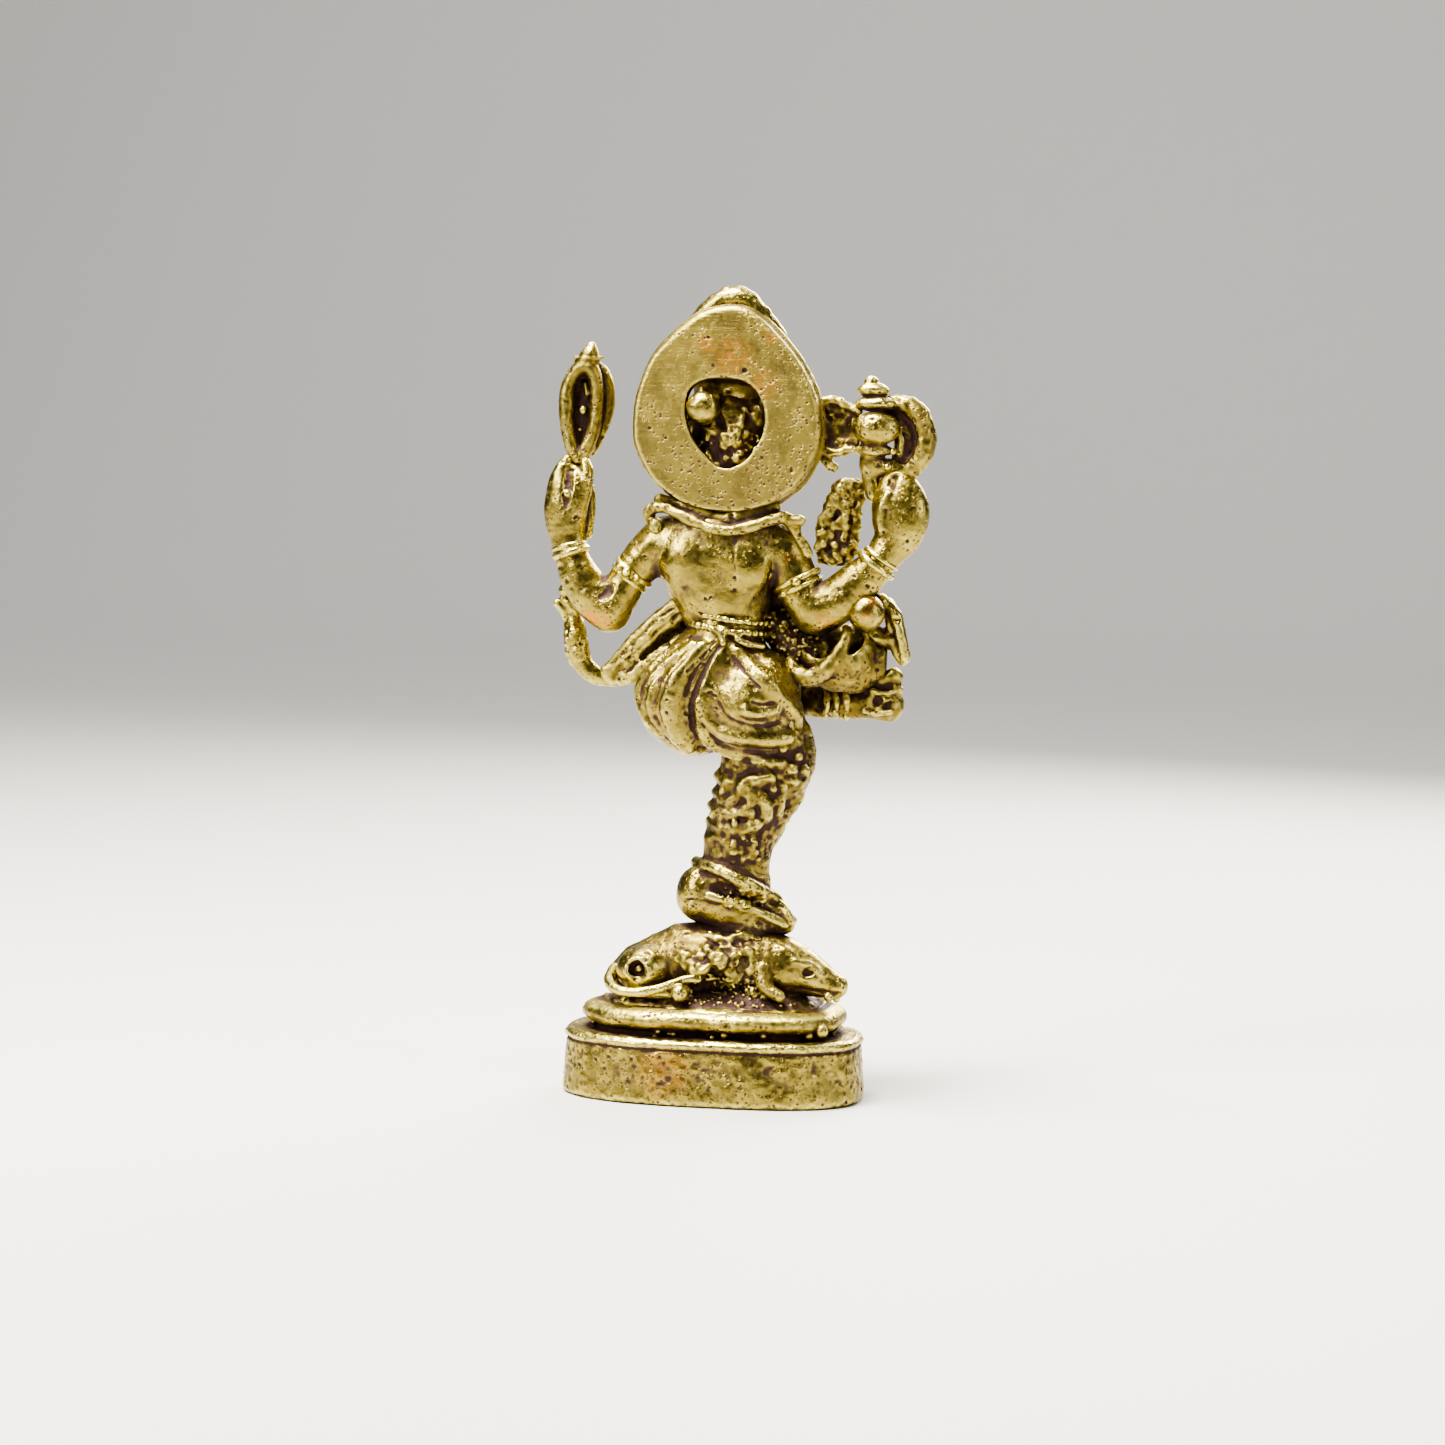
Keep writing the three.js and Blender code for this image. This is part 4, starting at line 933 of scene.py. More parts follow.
def necklaceWax(wax):
    # a rolled cloth collar: two cords over the shoulders that part and meet, lightly creased across
    back = [(3.05, 0.75, 24.75, 0.24), (3.35, 0.95, 25.4, 0.28), (2.7, 1.2, 25.62, 0.27),
        (1.7, 1.45, 25.2, 0.24), (0.5, 1.6, 24.75, 0.24), (-0.6, 1.55, 24.72, 0.24),
        (-1.7, 1.35, 25.05, 0.26), (-2.6, 1.05, 25.3, 0.28), (-3.1, 0.85, 24.7, 0.26),
        (-3.6, 0.75, 23.8, 0.22)]
    inner = [(2.9, 0.8, 25.95, 0.3), (1.7, 1.05, 25.6, 0.3), (0.4, 1.15, 25.2, 0.34),
        (-0.8, 1.1, 25.25, 0.34), (-2.1, 0.8, 25.75, 0.3)]
    limb(wax, back, blend=0.12)
    limb(wax, inner, blend=0.2)
    limb(wax, [(2.4, -0.4, 25.5, 0.3), (1.6, -1.7, 24.6, 0.28), (0.2, -2.3, 24.1, 0.28),
        (-1.2, -1.7, 24.5, 0.28), (-2.0, -0.4, 25.4, 0.3)], blend=0.12)
    egg(wax, (3.0, 1.1, 24.8), (0.3, 0.25, 0.35), blend=0.2)
    egg(wax, (-3.2, 1.0, 25.2), (0.35, 0.3, 0.3), blend=0.2)
    path = smoothPath(back, 5)
    for x, y, z, r in path[6:-6:5]:
        limb(wax, [(x - 0.1, y + 0.24, z + 0.24, 0.04), (x + 0.05, y + 0.3, z - 0.2, 0.04)], blend=0.1,
            carve=True)
    roughen(wax, 161, lumps=0.05, grit=0.022, pits=30)


necklace = {"nodes": ["necklace"], "middle": (0.09, -0.47, 25.4), "draw": necklaceWax,
    "finish": patinatedBrass, "room": (2.0, 0.7, 1.0)}
cast("necklace", necklace)


def scarfWax(wax):
    # a flat sash end, left as it came from the mould: ribbed lengthways, dull
    limb(wax, [(1.3, 0.2, 21.6, 0.5), (2.3, 0.3, 21.0, 0.55), (3.3, 0.35, 20.1, 0.52),
        (4.2, 0.3, 19.2, 0.46), (5.1, 0.1, 18.35, 0.36)], blend=0.2, flat=0.55)
    limb(wax, [(1.9, 0.2, 19.6, 0.5), (2.9, 0.4, 18.95, 0.44), (3.9, 0.35, 18.3, 0.36),
        (4.8, 0.1, 18.0, 0.3)], blend=0.2, flat=0.6)
    for shift in (-0.28, 0.0, 0.26):
        trace(wax, [(1.5 + shift, 21.3 + shift, 0.07), (2.5 + shift, 20.6 + shift, 0.08),
            (3.6 + shift, 19.5 + shift, 0.08), (4.7 + shift, 18.5 + shift, 0.07)], lift=0.1, carve=True,
            blend=0.08, fallback=0.4)
    egg(wax, (3.1, 0.5, 19.5), (0.75, 0.9, 0.16), turn=-42, blend=0.12, carve=True)
    roughen(wax, 171, lumps=0.05, grit=0.05, pits=40)


scarf = {"nodes": ["scarf"], "middle": (3.28, 0.3, 19.89), "draw": scarfWax, "finish": patinatedBrass}
cast("scarf", scarf)


leftArmShape = {
    "upper": [(2.75, 0.15, 24.15, 1.05), (3.45, 0.25, 23.5, 0.98), (4.15, 0.3, 22.6, 0.86),
        (4.7, 0.35, 21.7, 0.9), (5.1, 0.35, 21.15, 0.98)],
    "fore": [(5.15, 0.35, 21.15, 0.96), (5.75, 0.35, 21.6, 0.98), (6.3, 0.35, 22.3, 0.9),
        (6.65, 0.32, 23.0, 0.78), (6.9, 0.3, 23.7, 0.68)],
}
rightArmShape = {
    "upper": [(-2.35, 0.15, 23.95, 1.05), (-2.85, 0.3, 23.1, 1.0), (-3.3, 0.4, 22.2, 0.96),
        (-3.9, 0.4, 21.4, 1.0)],
    "fore": [(-4.1, 0.4, 21.25, 1.0), (-4.9, 0.4, 21.75, 1.02), (-5.7, 0.35, 22.5, 0.92),
        (-6.45, 0.32, 23.2, 0.8), (-6.95, 0.3, 23.9, 0.74)],
}


def band(wax, centre, along, radius, thick, blend=0.08):
    # a hoop round a limb: a thin roll carried round a circle square to the limb's direction
    axis = np.array(along, float) / np.linalg.norm(along)
    side = np.cross(axis, (0, 1, 0))
    side = side / np.linalg.norm(side)
    up = np.cross(side, axis)
    ring = [tuple(np.array(centre) + radius * (math.cos(a) * side + math.sin(a) * up)) + (thick,
        ) for a in np.linspace(0, 2 * math.pi, 12, endpoint=False)]
    limb(wax, ring, blend=blend, closed=True, steps=3)


def leftArmWax(wax):
    limb(wax, leftArmShape["upper"], blend=0.2, flat=0.95)
    limb(wax, leftArmShape["fore"], blend=0.25, flat=0.95)
    trace(wax, [(5.0, 22.1, 0.14), (5.1, 21.85, 0.18), (5.3, 21.7, 0.12)], lift=0.3, carve=True, blend=0.2)
    roughen(wax, 181, lumps=0.035, grit=0.01, pits=40, pitSize=(0.04, 0.09))


leftRearArm = {"nodes": ["left_rear_arm"], "middle": (5.03, 0.26, 22.52), "draw": leftArmWax,
    "finish": polishedBrass, "onto": [torso]}
cast("left_rear_arm", leftRearArm)


def leftArmletWax(wax):
    band(wax, (4.05, 0.3, 22.75), (0.62, 0, -0.78), 0.86, 0.15)
    band(wax, (4.25, 0.3, 22.5), (0.62, 0, -0.78), 0.84, 0.12)
    beads(wax, [(4.2, 22.75, 0.2), (3.75, 22.5, 0.14), (4.55, 22.95, 0.14)], lift=0.3)
    roughen(wax, 185, lumps=0.03, grit=0.015, pits=8)


leftRearArmlet = {"nodes": ["left_rear_armlet"], "middle": (4.61, 0.3, 23.05), "draw": leftArmletWax,
    "finish": polishedBrass}
cast("left_rear_armlet", leftRearArmlet)


def leftBangleWax(wax):
    band(wax, (6.82, 0.3, 23.55), (0.3, 0, 0.95), 0.7, 0.16)
    band(wax, (6.92, 0.3, 23.83), (0.25, 0, 0.97), 0.68, 0.12)
    roughen(wax, 187, lumps=0.03, grit=0.01, pits=6)


leftRearBangle = {"nodes": ["left_rear_bangle"], "middle": (6.97, 0.2, 24.0), "draw": leftBangleWax,
    "finish": polishedBrass}
cast("left_rear_bangle", leftRearBangle)


def leftHandWax(wax):
    limb(wax, [(6.9, 0.3, 23.8, 0.66), (7.08, 0.3, 24.6, 0.86), (7.12, 0.3, 25.5, 0.96),
        (7.0, 0.3, 26.3, 0.86), (6.9, 0.25, 26.8, 0.6)], blend=0.25, flat=0.75)
    limb(wax, [(7.5, 0.4, 25.6, 0.45), (7.52, 0.4, 26.5, 0.38), (7.32, 0.35, 27.2, 0.3),
        (7.12, 0.3, 27.6, 0.2)], blend=0.2)
    limb(wax, [(6.5, 0.45, 25.4, 0.36), (6.3, 0.45, 26.3, 0.36), (6.2, 0.4, 27.0, 0.3),
        (6.3, 0.35, 27.5, 0.2)], blend=0.15)
    limb(wax, [(6.25, -0.1, 24.4, 0.3), (6.15, -0.2, 25.4, 0.28), (6.2, -0.2, 26.4, 0.24)], blend=0.2)
    trace(wax, [(6.95, 27.1, 0.2), (6.92, 26.5, 0.26), (6.98, 25.9, 0.22), (7.0, 25.5, 0.12)], lift=0.2,
        carve=True, blend=0.16, fallback=0.6)
    beads(wax, [(7.0, 26.1, 0.17)], lift=0.2)
    roughen(wax, 191, lumps=0.03, grit=0.01, pits=16)


leftRearHand = {"nodes": ["left_rear_hand"], "middle": (7.2, 0.09, 25.97), "draw": leftHandWax,
    "finish": polishedBrass, "onto": [leftRearArm]}
cast("left_rear_hand", leftRearHand)


def nooseWax(wax):
    ring = [(7.22, 0.1, 30.1, 0.34), (7.12, 0.1, 30.9, 0.32), (6.75, 0.1, 31.5, 0.33),
        (6.25, 0.1, 31.62, 0.36), (5.93, 0.1, 31.0, 0.3), (5.88, 0.1, 30.0, 0.28),
            (5.98, 0.1, 29.0, 0.28), (6.3, 0.1, 28.1, 0.3), (6.65, 0.1, 27.65, 0.32), (7.0, 0.1, 28.3,
                0.3), (7.18, 0.1, 29.2, 0.33)]
    limb(wax, ring, blend=0.1, closed=True, flat=1.2)
    limb(wax, [(6.1, -0.35, 31.75, 0.26), (5.65, -0.4, 31.3, 0.28), (5.48, -0.4, 30.5, 0.3),
        (5.52, -0.4, 29.7, 0.28), (5.75, -0.35, 28.8, 0.26), (6.15, -0.3, 28.0, 0.24)], blend=0.06)
    limb(wax, [(6.6, -0.3, 31.2, 0.4), (6.6, -0.3, 29.5, 0.5), (6.6, -0.3, 28.2, 0.4)], blend=0.15,
        flat=0.5)
    limb(wax, [(6.45, -0.15, 30.9, 0.16), (6.35, -0.1, 30.5, 0.14)], blend=0.05)
    egg(wax, (6.5, 0.05, 29.75), (0.16, 0.16, 0.2), blend=0.05)
    egg(wax, (6.62, 0.0, 28.9), (0.12, 0.12, 0.12), blend=0.05)
    limb(wax, [(6.28, 0.0, 32.02, 0.5), (6.24, 0.0, 32.32, 0.3), (6.2, 0.0, 32.6, 0.14)], blend=0.15,
        flat=0.9)
    limb(wax, [(6.85, 0.1, 32.0, 0.12), (6.3, 0.3, 31.93, 0.14), (5.72, 0.1, 32.05, 0.12)], blend=0.12)
    roughen(wax, 201, lumps=0.035, grit=0.015, pits=30)


noose = {"nodes": ["noose"], "middle": (6.53, 0.0, 30.54), "draw": nooseWax, "finish": patinatedBrass}
cast("noose", noose)


def rightArmWax(wax):
    limb(wax, rightArmShape["upper"], blend=0.2, flat=0.95)
    limb(wax, rightArmShape["fore"], blend=0.25, flat=0.95)
    roughen(wax, 211, lumps=0.035, grit=0.01, pits=40, pitSize=(0.04, 0.09))


rightRearArm = {"nodes": ["right_rear_arm"], "middle": (-4.59, 0.26, 22.39), "draw": rightArmWax,
    "finish": polishedBrass, "onto": [torso]}
cast("right_rear_arm", rightRearArm)


def rightArmletWax(wax):
    band(wax, (-3.15, 0.38, 22.6), (-0.45, 0, -0.9), 0.98, 0.15)
    band(wax, (-3.3, 0.38, 22.3), (-0.45, 0, -0.9), 0.96, 0.12)
    beads(wax, [(-3.25, 22.55, 0.2), (-2.75, 22.75, 0.14), (-3.75, 22.35, 0.14)], lift=0.3)
    roughen(wax, 215, lumps=0.03, grit=0.015, pits=8)


rightRearArmlet = {"nodes": ["right_rear_armlet"], "middle": (-3.42, 0.3, 22.53), "draw": rightArmletWax,
    "finish": polishedBrass}
cast("right_rear_armlet", rightRearArmlet)


def rightBangleWax(wax):
    band(wax, (-6.55, 0.32, 23.35), (-0.6, 0, 0.8), 0.82, 0.16)
    band(wax, (-6.78, 0.3, 23.65), (-0.55, 0, 0.83), 0.76, 0.12)
    roughen(wax, 217, lumps=0.03, grit=0.01, pits=6)


rightRearBangle = {"nodes": ["right_rear_bangle"], "middle": (-6.58, 0.25, 23.55), "draw": rightBangleWax,
    "finish": polishedBrass}
cast("right_rear_bangle", rightRearBangle)


def rightHandWax(wax):
    limb(wax, [(-6.95, 0.25, 23.9, 0.7), (-7.5, 0.25, 24.7, 1.0), (-7.68, 0.25, 25.5, 1.12),
        (-7.6, 0.2, 26.2, 1.02), (-7.35, 0.15, 26.75, 0.75)], blend=0.25, flat=0.75)
    limb(wax, [(-6.75, 0.35, 25.2, 0.4), (-6.7, 0.35, 26.0, 0.38), (-6.9, 0.3, 26.8, 0.3)], blend=0.3)
    trace(wax, [(-7.15, 27.2, 0.1), (-7.2, 26.85, 0.1), (-7.2, 26.5, 0.05)], lift=0.6, carve=True,
        blend=0.25)
    trace(wax, [(-7.0, 26.4, 0.12), (-6.75, 25.6, 0.16), (-6.8, 24.9, 0.1)], lift=-0.2, blend=0.3)
    roughen(wax, 221, lumps=0.035, grit=0.01, pits=20)


rightRearHand = {"nodes": ["right_rear_hand"], "middle": (-7.38, 0.16, 25.4), "draw": rightHandWax,
    "finish": polishedBrass, "onto": [rightRearArm]}
cast("right_rear_hand", rightRearHand)


def axeWax(wax):
    limb(wax, [(-6.35, 0.0, 26.4, 0.34), (-6.15, 0.0, 27.2, 0.36), (-6.2, 0.0, 28.0, 0.45),
        (-6.3, 0.0, 28.5, 0.6)], blend=0.2)
    egg(wax, (-6.4, 0.42, 29.24), (1.02, 0.8, 0.74), blend=0.12)
    limb(wax, [(-5.7, 0.2, 28.3, 0.2), (-6.3, 0.45, 28.24, 0.22), (-6.95, 0.2, 28.3, 0.2)], blend=0.12)
    limb(wax, [(-6.1, 0.0, 27.7, 0.4), (-6.9, -0.05, 27.6, 0.42), (-7.6, -0.1, 27.5, 0.34)], blend=0.3)
    egg(wax, (-6.35, 0.2, 30.28), (0.92, 0.6, 0.36), blend=0.12)
    egg(wax, (-6.2, 0.15, 30.86), (0.7, 0.5, 0.33), blend=0.12)
    egg(wax, (-6.1, 0.1, 31.25), (0.3, 0.28, 0.24), blend=0.12)
    egg(wax, (-6.95, 0.35, 27.6), (0.17, 0.17, 0.17), blend=0.04)
    egg(wax, (-7.15, 0.4, 28.25), (0.15, 0.15, 0.15), blend=0.04)
    roughen(wax, 231, lumps=0.045, grit=0.02, pits=26)


axe = {"nodes": ["axe_stem", "axe_bulb", "axe_finial"], "middle": (-6.36, 0.2, 29.16), "draw": axeWax,
    "finish": polishedBrass}
cast("axe", axe)


def axeHookWax(wax):
    limb(wax, [(-6.9, -0.1, 30.3, 0.36), (-7.4, 0.0, 30.3, 0.42), (-7.95, 0.05, 30.05, 0.46),
        (-8.38, 0.1, 29.5, 0.48), (-8.5, 0.1, 28.8, 0.48), (-8.35, 0.1, 28.1, 0.44),
        (-7.95, 0.05, 27.5, 0.36), (-7.7, 0.0, 27.25, 0.24)], blend=0.15)
    limb(wax, [(-7.2, -0.15, 29.9, 0.5), (-7.7, -0.15, 29.3, 0.65), (-7.75, -0.15, 28.5, 0.6),
        (-7.4, -0.15, 27.8, 0.4)], blend=0.25, flat=0.6)
    trace(wax, [(-7.5, 29.7, 0.1), (-7.95, 29.3, 0.13), (-8.05, 28.6, 0.12), (-7.85, 28.1, 0.1)], lift=0.1,
        carve=True, blend=0.2)
    trace(wax, [(-7.4, 29.2, 0.14), (-7.5, 28.7, 0.16), (-7.4, 28.2, 0.12)], lift=0.2, blend=0.15)
    roughen(wax, 241, lumps=0.06, grit=0.035, pits=26)


axeHook = {"nodes": ["axe_hook"], "middle": (-7.84, -0.02, 29.17), "draw": axeHookWax,
    "finish": patinatedBrass}
cast("axe_hook", axeHook)


def axeBladeWax(wax):
    plate(wax, [(-3.6, 30.15), (-3.75, 29.2), (-3.95, 28.2), (-4.9, 28.1), (-5.6, 28.35), (-5.6, 29.2),
        (-5.5, 30.1), (-4.6, 30.3)], -0.1, 0.55, edge=0.12)
    limb(wax, [(-3.75, 0.1, 30.3, 0.2), (-4.4, 0.1, 30.38, 0.24), (-5.1, 0.15, 30.2, 0.22),
        (-5.6, 0.2, 29.9, 0.2)], blend=0.12)
    limb(wax, [(-4.0, 0.1, 28.2, 0.24), (-4.7, 0.15, 28.15, 0.24), (-5.4, 0.2, 28.3, 0.22)], blend=0.12)
    limb(wax, [(-4.05, 0.05, 28.1, 0.22), (-4.35, 0.05, 27.7, 0.24), (-4.6, 0.05, 27.55, 0.2)], blend=0.12)
    egg(wax, (-4.7, 0.2, 29.2), (0.6, 0.25, 0.6), carve=True, blend=0.15)
    roughen(wax, 251, lumps=0.06, grit=0.05, pits=40, pitSize=(0.06, 0.14))


axeBlade = {"nodes": ["axe_blade"], "middle": (-4.28, 0.08, 29.44), "draw": axeBladeWax,
    "finish": patinatedBrass, "room": (0.9, 0.7, 1.3)}
cast("axe_blade", axeBlade)


def tasselWax(wax):
    limb(wax, [(-5.42, -0.25, 26.8, 0.3), (-5.2, -0.25, 26.2, 0.5), (-4.9, -0.25, 25.3, 0.72),
        (-4.75, -0.3, 24.4, 0.78), (-4.7, -0.3, 23.9, 0.7)], blend=0.2, flat=0.55)
    limb(wax, [(-5.1, -0.05, 26.9, 0.16), (-4.75, 0.0, 26.1, 0.18), (-4.3, 0.0, 25.1, 0.18),
        (-4.05, -0.05, 24.1, 0.18)], blend=0.1)
    cobble(wax, (-5.8, -0.6, 23.5), (-4.0, 0.5, 27.0), 0.19, 262, height=0.7, blend=0.12, gap=1.05)
    roughen(wax, 261, lumps=0.03, grit=0.03, pits=30, pitSize=(0.05, 0.1))


tassel = {"nodes": ["tassel"], "middle": (-4.74, -0.3, 25.34), "draw": tasselWax, "finish": patinatedBrass}
cast("tassel", tassel)


def leftFrontArmWax(wax):
    limb(wax, [(2.3, -0.8, 23.3, 0.85), (2.1, -1.6, 22.3, 0.8), (2.1, -2.0, 21.1, 0.72),
        (2.9, -1.6, 20.1, 0.6), (4.0, -0.9, 19.0, 0.5), (4.9, -0.5, 18.15, 0.42)], blend=0.3)
    limb(wax, [(5.0, -0.4, 17.98, 0.28), (5.7, -0.4, 18.12, 0.36), (6.3, -0.4, 18.6, 0.46),
        (6.6, -0.4, 19.2, 0.54)], blend=0.2)
    roughen(wax, 271, lumps=0.04, grit=0.015, pits=24)


leftFrontArm = {"nodes": ["left_front_arm"], "middle": (4.36, -1.56, 21.09), "draw": leftFrontArmWax,
    "finish": polishedBrass, "onto": [torso]}
cast("left_front_arm", leftFrontArm)


def leftFrontHandWax(wax):
    limb(wax, [(6.5, -0.4, 18.95, 0.5), (6.66, -0.35, 19.7, 0.52), (6.72, -0.35, 20.3, 0.46),
        (6.85, -0.35, 20.75, 0.34), (7.1, -0.3, 21.15, 0.28)], blend=0.2)
    egg(wax, (6.8, 0.05, 19.75), (0.28, 0.22, 0.5), turn=10, blend=0.08)
    cobble(wax, (6.5, 0.0, 19.3), (7.1, 0.4, 20.2), 0.11, 282)
    limb(wax, [(7.1, -0.25, 20.7, 0.2), (7.3, -0.2, 21.1, 0.22), (7.5, -0.2, 21.3, 0.2)], blend=0.1)
    limb(wax, [(6.65, -0.2, 20.8, 0.2), (6.9, -0.1, 21.2, 0.2), (7.25, -0.15, 21.45, 0.18)], blend=0.08)
    egg(wax, (7.12, -0.25, 21.85), (0.36, 0.34, 0.34), blend=0.12)
    roughen(wax, 281, lumps=0.04, grit=0.02, pits=16)


leftFrontHand = {"nodes": ["left_front_hand", "left_front_sweet"], "middle": (6.78, -0.43, 20.61),
    "draw": leftFrontHandWax, "finish": polishedBrass}
cast("left_front_hand", leftFrontHand)


def rightFrontArmWax(wax):
    limb(wax, [(-1.7, -0.8, 23.3, 0.9), (-2.2, -1.3, 22.1, 0.88), (-2.75, -1.4, 21.0, 0.86),
        (-3.8, -1.4, 20.2, 0.8), (-5.2, -1.2, 20.0, 0.75), (-6.3, -0.9, 20.1, 0.66),
        (-7.0, -0.7, 20.1, 0.5)], blend=0.3)
    limb(wax, [(-2.2, -0.6, 20.6, 0.7), (-3.0, -0.5, 19.6, 0.85), (-3.9, -0.5, 19.3, 0.8)], blend=0.3)
    cobble(wax, (-4.0, -0.6, 19.0), (-2.0, 0.8, 22.0), 0.12, 292)
    roughen(wax, 291, lumps=0.04, grit=0.015, pits=24)


rightFrontArm = {"nodes": ["right_front_arm"], "middle": (-4.29, -1.67, 21.61), "draw": rightFrontArmWax,
    "finish": patinatedBrass, "onto": [torso]}
cast("right_front_arm", rightFrontArm)


def rightFrontHandWax(wax):
    plate(wax, [(-6.85, 21.8), (-7.35, 21.85), (-7.7, 21.0), (-7.95, 20.0), (-8.05, 19.25), (-7.7, 19.05),
        (-7.35, 19.5), (-7.1, 20.4)], -0.35, 0.7, edge=0.2)
    limb(wax, [(-6.9, -0.1, 21.75, 0.26), (-7.4, 0.0, 21.35, 0.26), (-7.66, 0.0, 20.4, 0.27),
        (-7.9, -0.05, 19.4, 0.22)], blend=0.1)
    limb(wax, [(-5.9, -0.6, 20.6, 0.5), (-6.7, -0.6, 20.2, 0.5), (-7.3, -0.5, 20.1, 0.4)], blend=0.2)
    roughen(wax, 301, lumps=0.04, grit=0.02, pits=16)


rightFrontHand = {"nodes": ["right_front_hand"], "middle": (-7.44, -0.4, 20.33), "draw": rightFrontHandWax,
    "finish": polishedBrass}
cast("right_front_hand", rightFrontHand)


def bowlWax(wax):
    egg(wax, (-5.0, -0.2, 19.35), (1.75, 1.35, 1.55), turn=25, blend=0.2)
    egg(wax, (-4.7, 0.3, 20.35), (1.5, 1.35, 1.35), turn=25, blend=0.12, carve=True)
    limb(wax, [(-2.95, 0.35, 19.15, 0.2), (-3.3, 0.75, 18.65, 0.3), (-3.9, 1.0, 18.45, 0.36),
        (-4.6, 1.05, 18.85, 0.38), (-5.1, 0.95, 19.5, 0.36), (-5.38, 0.7, 20.15, 0.3),
        (-5.4, 0.45, 20.55, 0.2)], blend=0.15)
    limb(wax, [(-5.9, -0.2, 18.3, 0.5), (-6.6, -0.3, 18.8, 0.45), (-6.8, -0.4, 19.5, 0.4)], blend=0.3)
    roughen(wax, 311, lumps=0.05, grit=0.03, pits=70, pitSize=(0.05, 0.12))


bowl = {"nodes": ["bowl"], "middle": (-4.79, -0.22, 19.25), "draw": bowlWax, "finish": patinatedBrass}
cast("bowl", bowl)


def sweetWax(wax):
    egg(wax, (-6.22, 0.55, 21.3), (0.82, 0.8, 0.8), blend=0.1)
    egg(wax, (-6.75, 0.1, 21.75), (0.42, 0.4, 0.4), blend=0.06)
    roughen(wax, 321, lumps=0.03, grit=0.01, pits=12, pitSize=(0.04, 0.08))


bowlSweet = {"nodes": ["bowl_sweet"], "middle": (-6.17, 0.55, 21.15), "draw": sweetWax,
    "finish": polishedBrass}
cast("bowl_sweet", bowlSweet)


haloShape = {
    "rim": [(4.0, 29.0), (3.9, 30.4), (3.35, 31.95), (2.4, 33.1), (1.35, 33.95), (0.3, 34.3), (-0.7, 34.25),
        (-1.75, 33.5), (-2.85, 32.3), (-3.7, 30.9), (-4.08, 29.4),
            (-3.95, 28.1), (-3.3, 26.85), (-2.1, 25.9), (-0.3, 25.48), (1.6, 25.78), (3.0, 26.72), (3.8,
                28.0)],
    "hole": [(1.78, 29.6), (1.72, 30.5), (1.2, 31.05), (0.2, 31.22), (-0.8, 31.08), (-1.45, 30.4),
        (-1.66, 29.4), (-1.4, 28.4), (-0.75, 27.6), (0.1, 27.35), (0.95, 27.95), (1.5, 28.7)],
    "middle": 1.08,
    "thick": 0.95,
    "level": 29.9,
    "frontFace": 0.65,
}


def haloWax(wax):
    plate(wax, haloShape["rim"], haloShape["middle"], haloShape["thick"], edge=0.3, steps=6,
        lean=(0.02, -0.02))
    plate(wax, haloShape["hole"], haloShape["middle"], 2.2, edge=0.1, carve=True, blend=0.14)
    ring = np.array(haloShape["rim"])
    level = haloShape["level"]
    # a raised border on the front
    front = [(x * 0.97, haloShape["frontFace"], level + (z - level) * 0.97, 0.3) for x, z in ring]
    limb(wax, front, blend=0.15, closed=True)
    for x, z in smoothPath(ring, 2, True)[:-1]:                                 # flame points round it
        limb(wax, [(x * 0.86, 0.55, level + (z - level) * 0.86, 0.2),
            (x * 0.95, 0.5, level + (z - level) * 0.95, 0.16)], blend=0.1)
    egg(wax, (-1.35, 1.5, 28.1), (0.2, 0.35, 0.12), turn=55, blend=0.1)
    roughen(wax, 331, lumps=0.02, grit=0.012, pits=34, pitSize=(0.035, 0.07))
    face = wax["first"][1] + voxel * np.arange(wax["count"][1])
    # the back is filed flat
    filed = (face - (haloShape["middle"] + haloShape["thick"] / 2 - 0.02))[None, :, None]
    wax["field"] = np.maximum(wax["field"], filed.astype(np.float32))
    beads(wax, [(-0.75, 31.55, 0.12), (3.3, 29.0, 0.07), (2.6, 28.6, 0.06), (-2.9, 27.3, 0.07)], lift=-0.1,
        carve=True, blend=0.08)


halo = {"nodes": ["halo"], "middle": (-0.09, 1.17, 30.04), "draw": haloWax, "finish": satinBrass}
cast("halo", halo)


def bossWax(wax):
    limb(wax, [(0.9, 0.3, 29.85, 0.5), (1.02, 0.9, 29.9, 0.6)], blend=0.2)
    egg(wax, (1.04, 1.25, 29.92), (0.74, 0.68, 0.72), blend=0.1)
    egg(wax, (0.5, 1.2, 30.4), (0.17, 0.2, 0.15), blend=0.15)
    roughen(wax, 335, lumps=0.03, grit=0.015, pits=10, pitSize=(0.04, 0.09))


haloBoss = {"nodes": ["halo_boss"], "middle": (0.99, 0.95, 30.05), "draw": bossWax, "finish": polishedBrass}
cast("halo_boss", haloBoss)


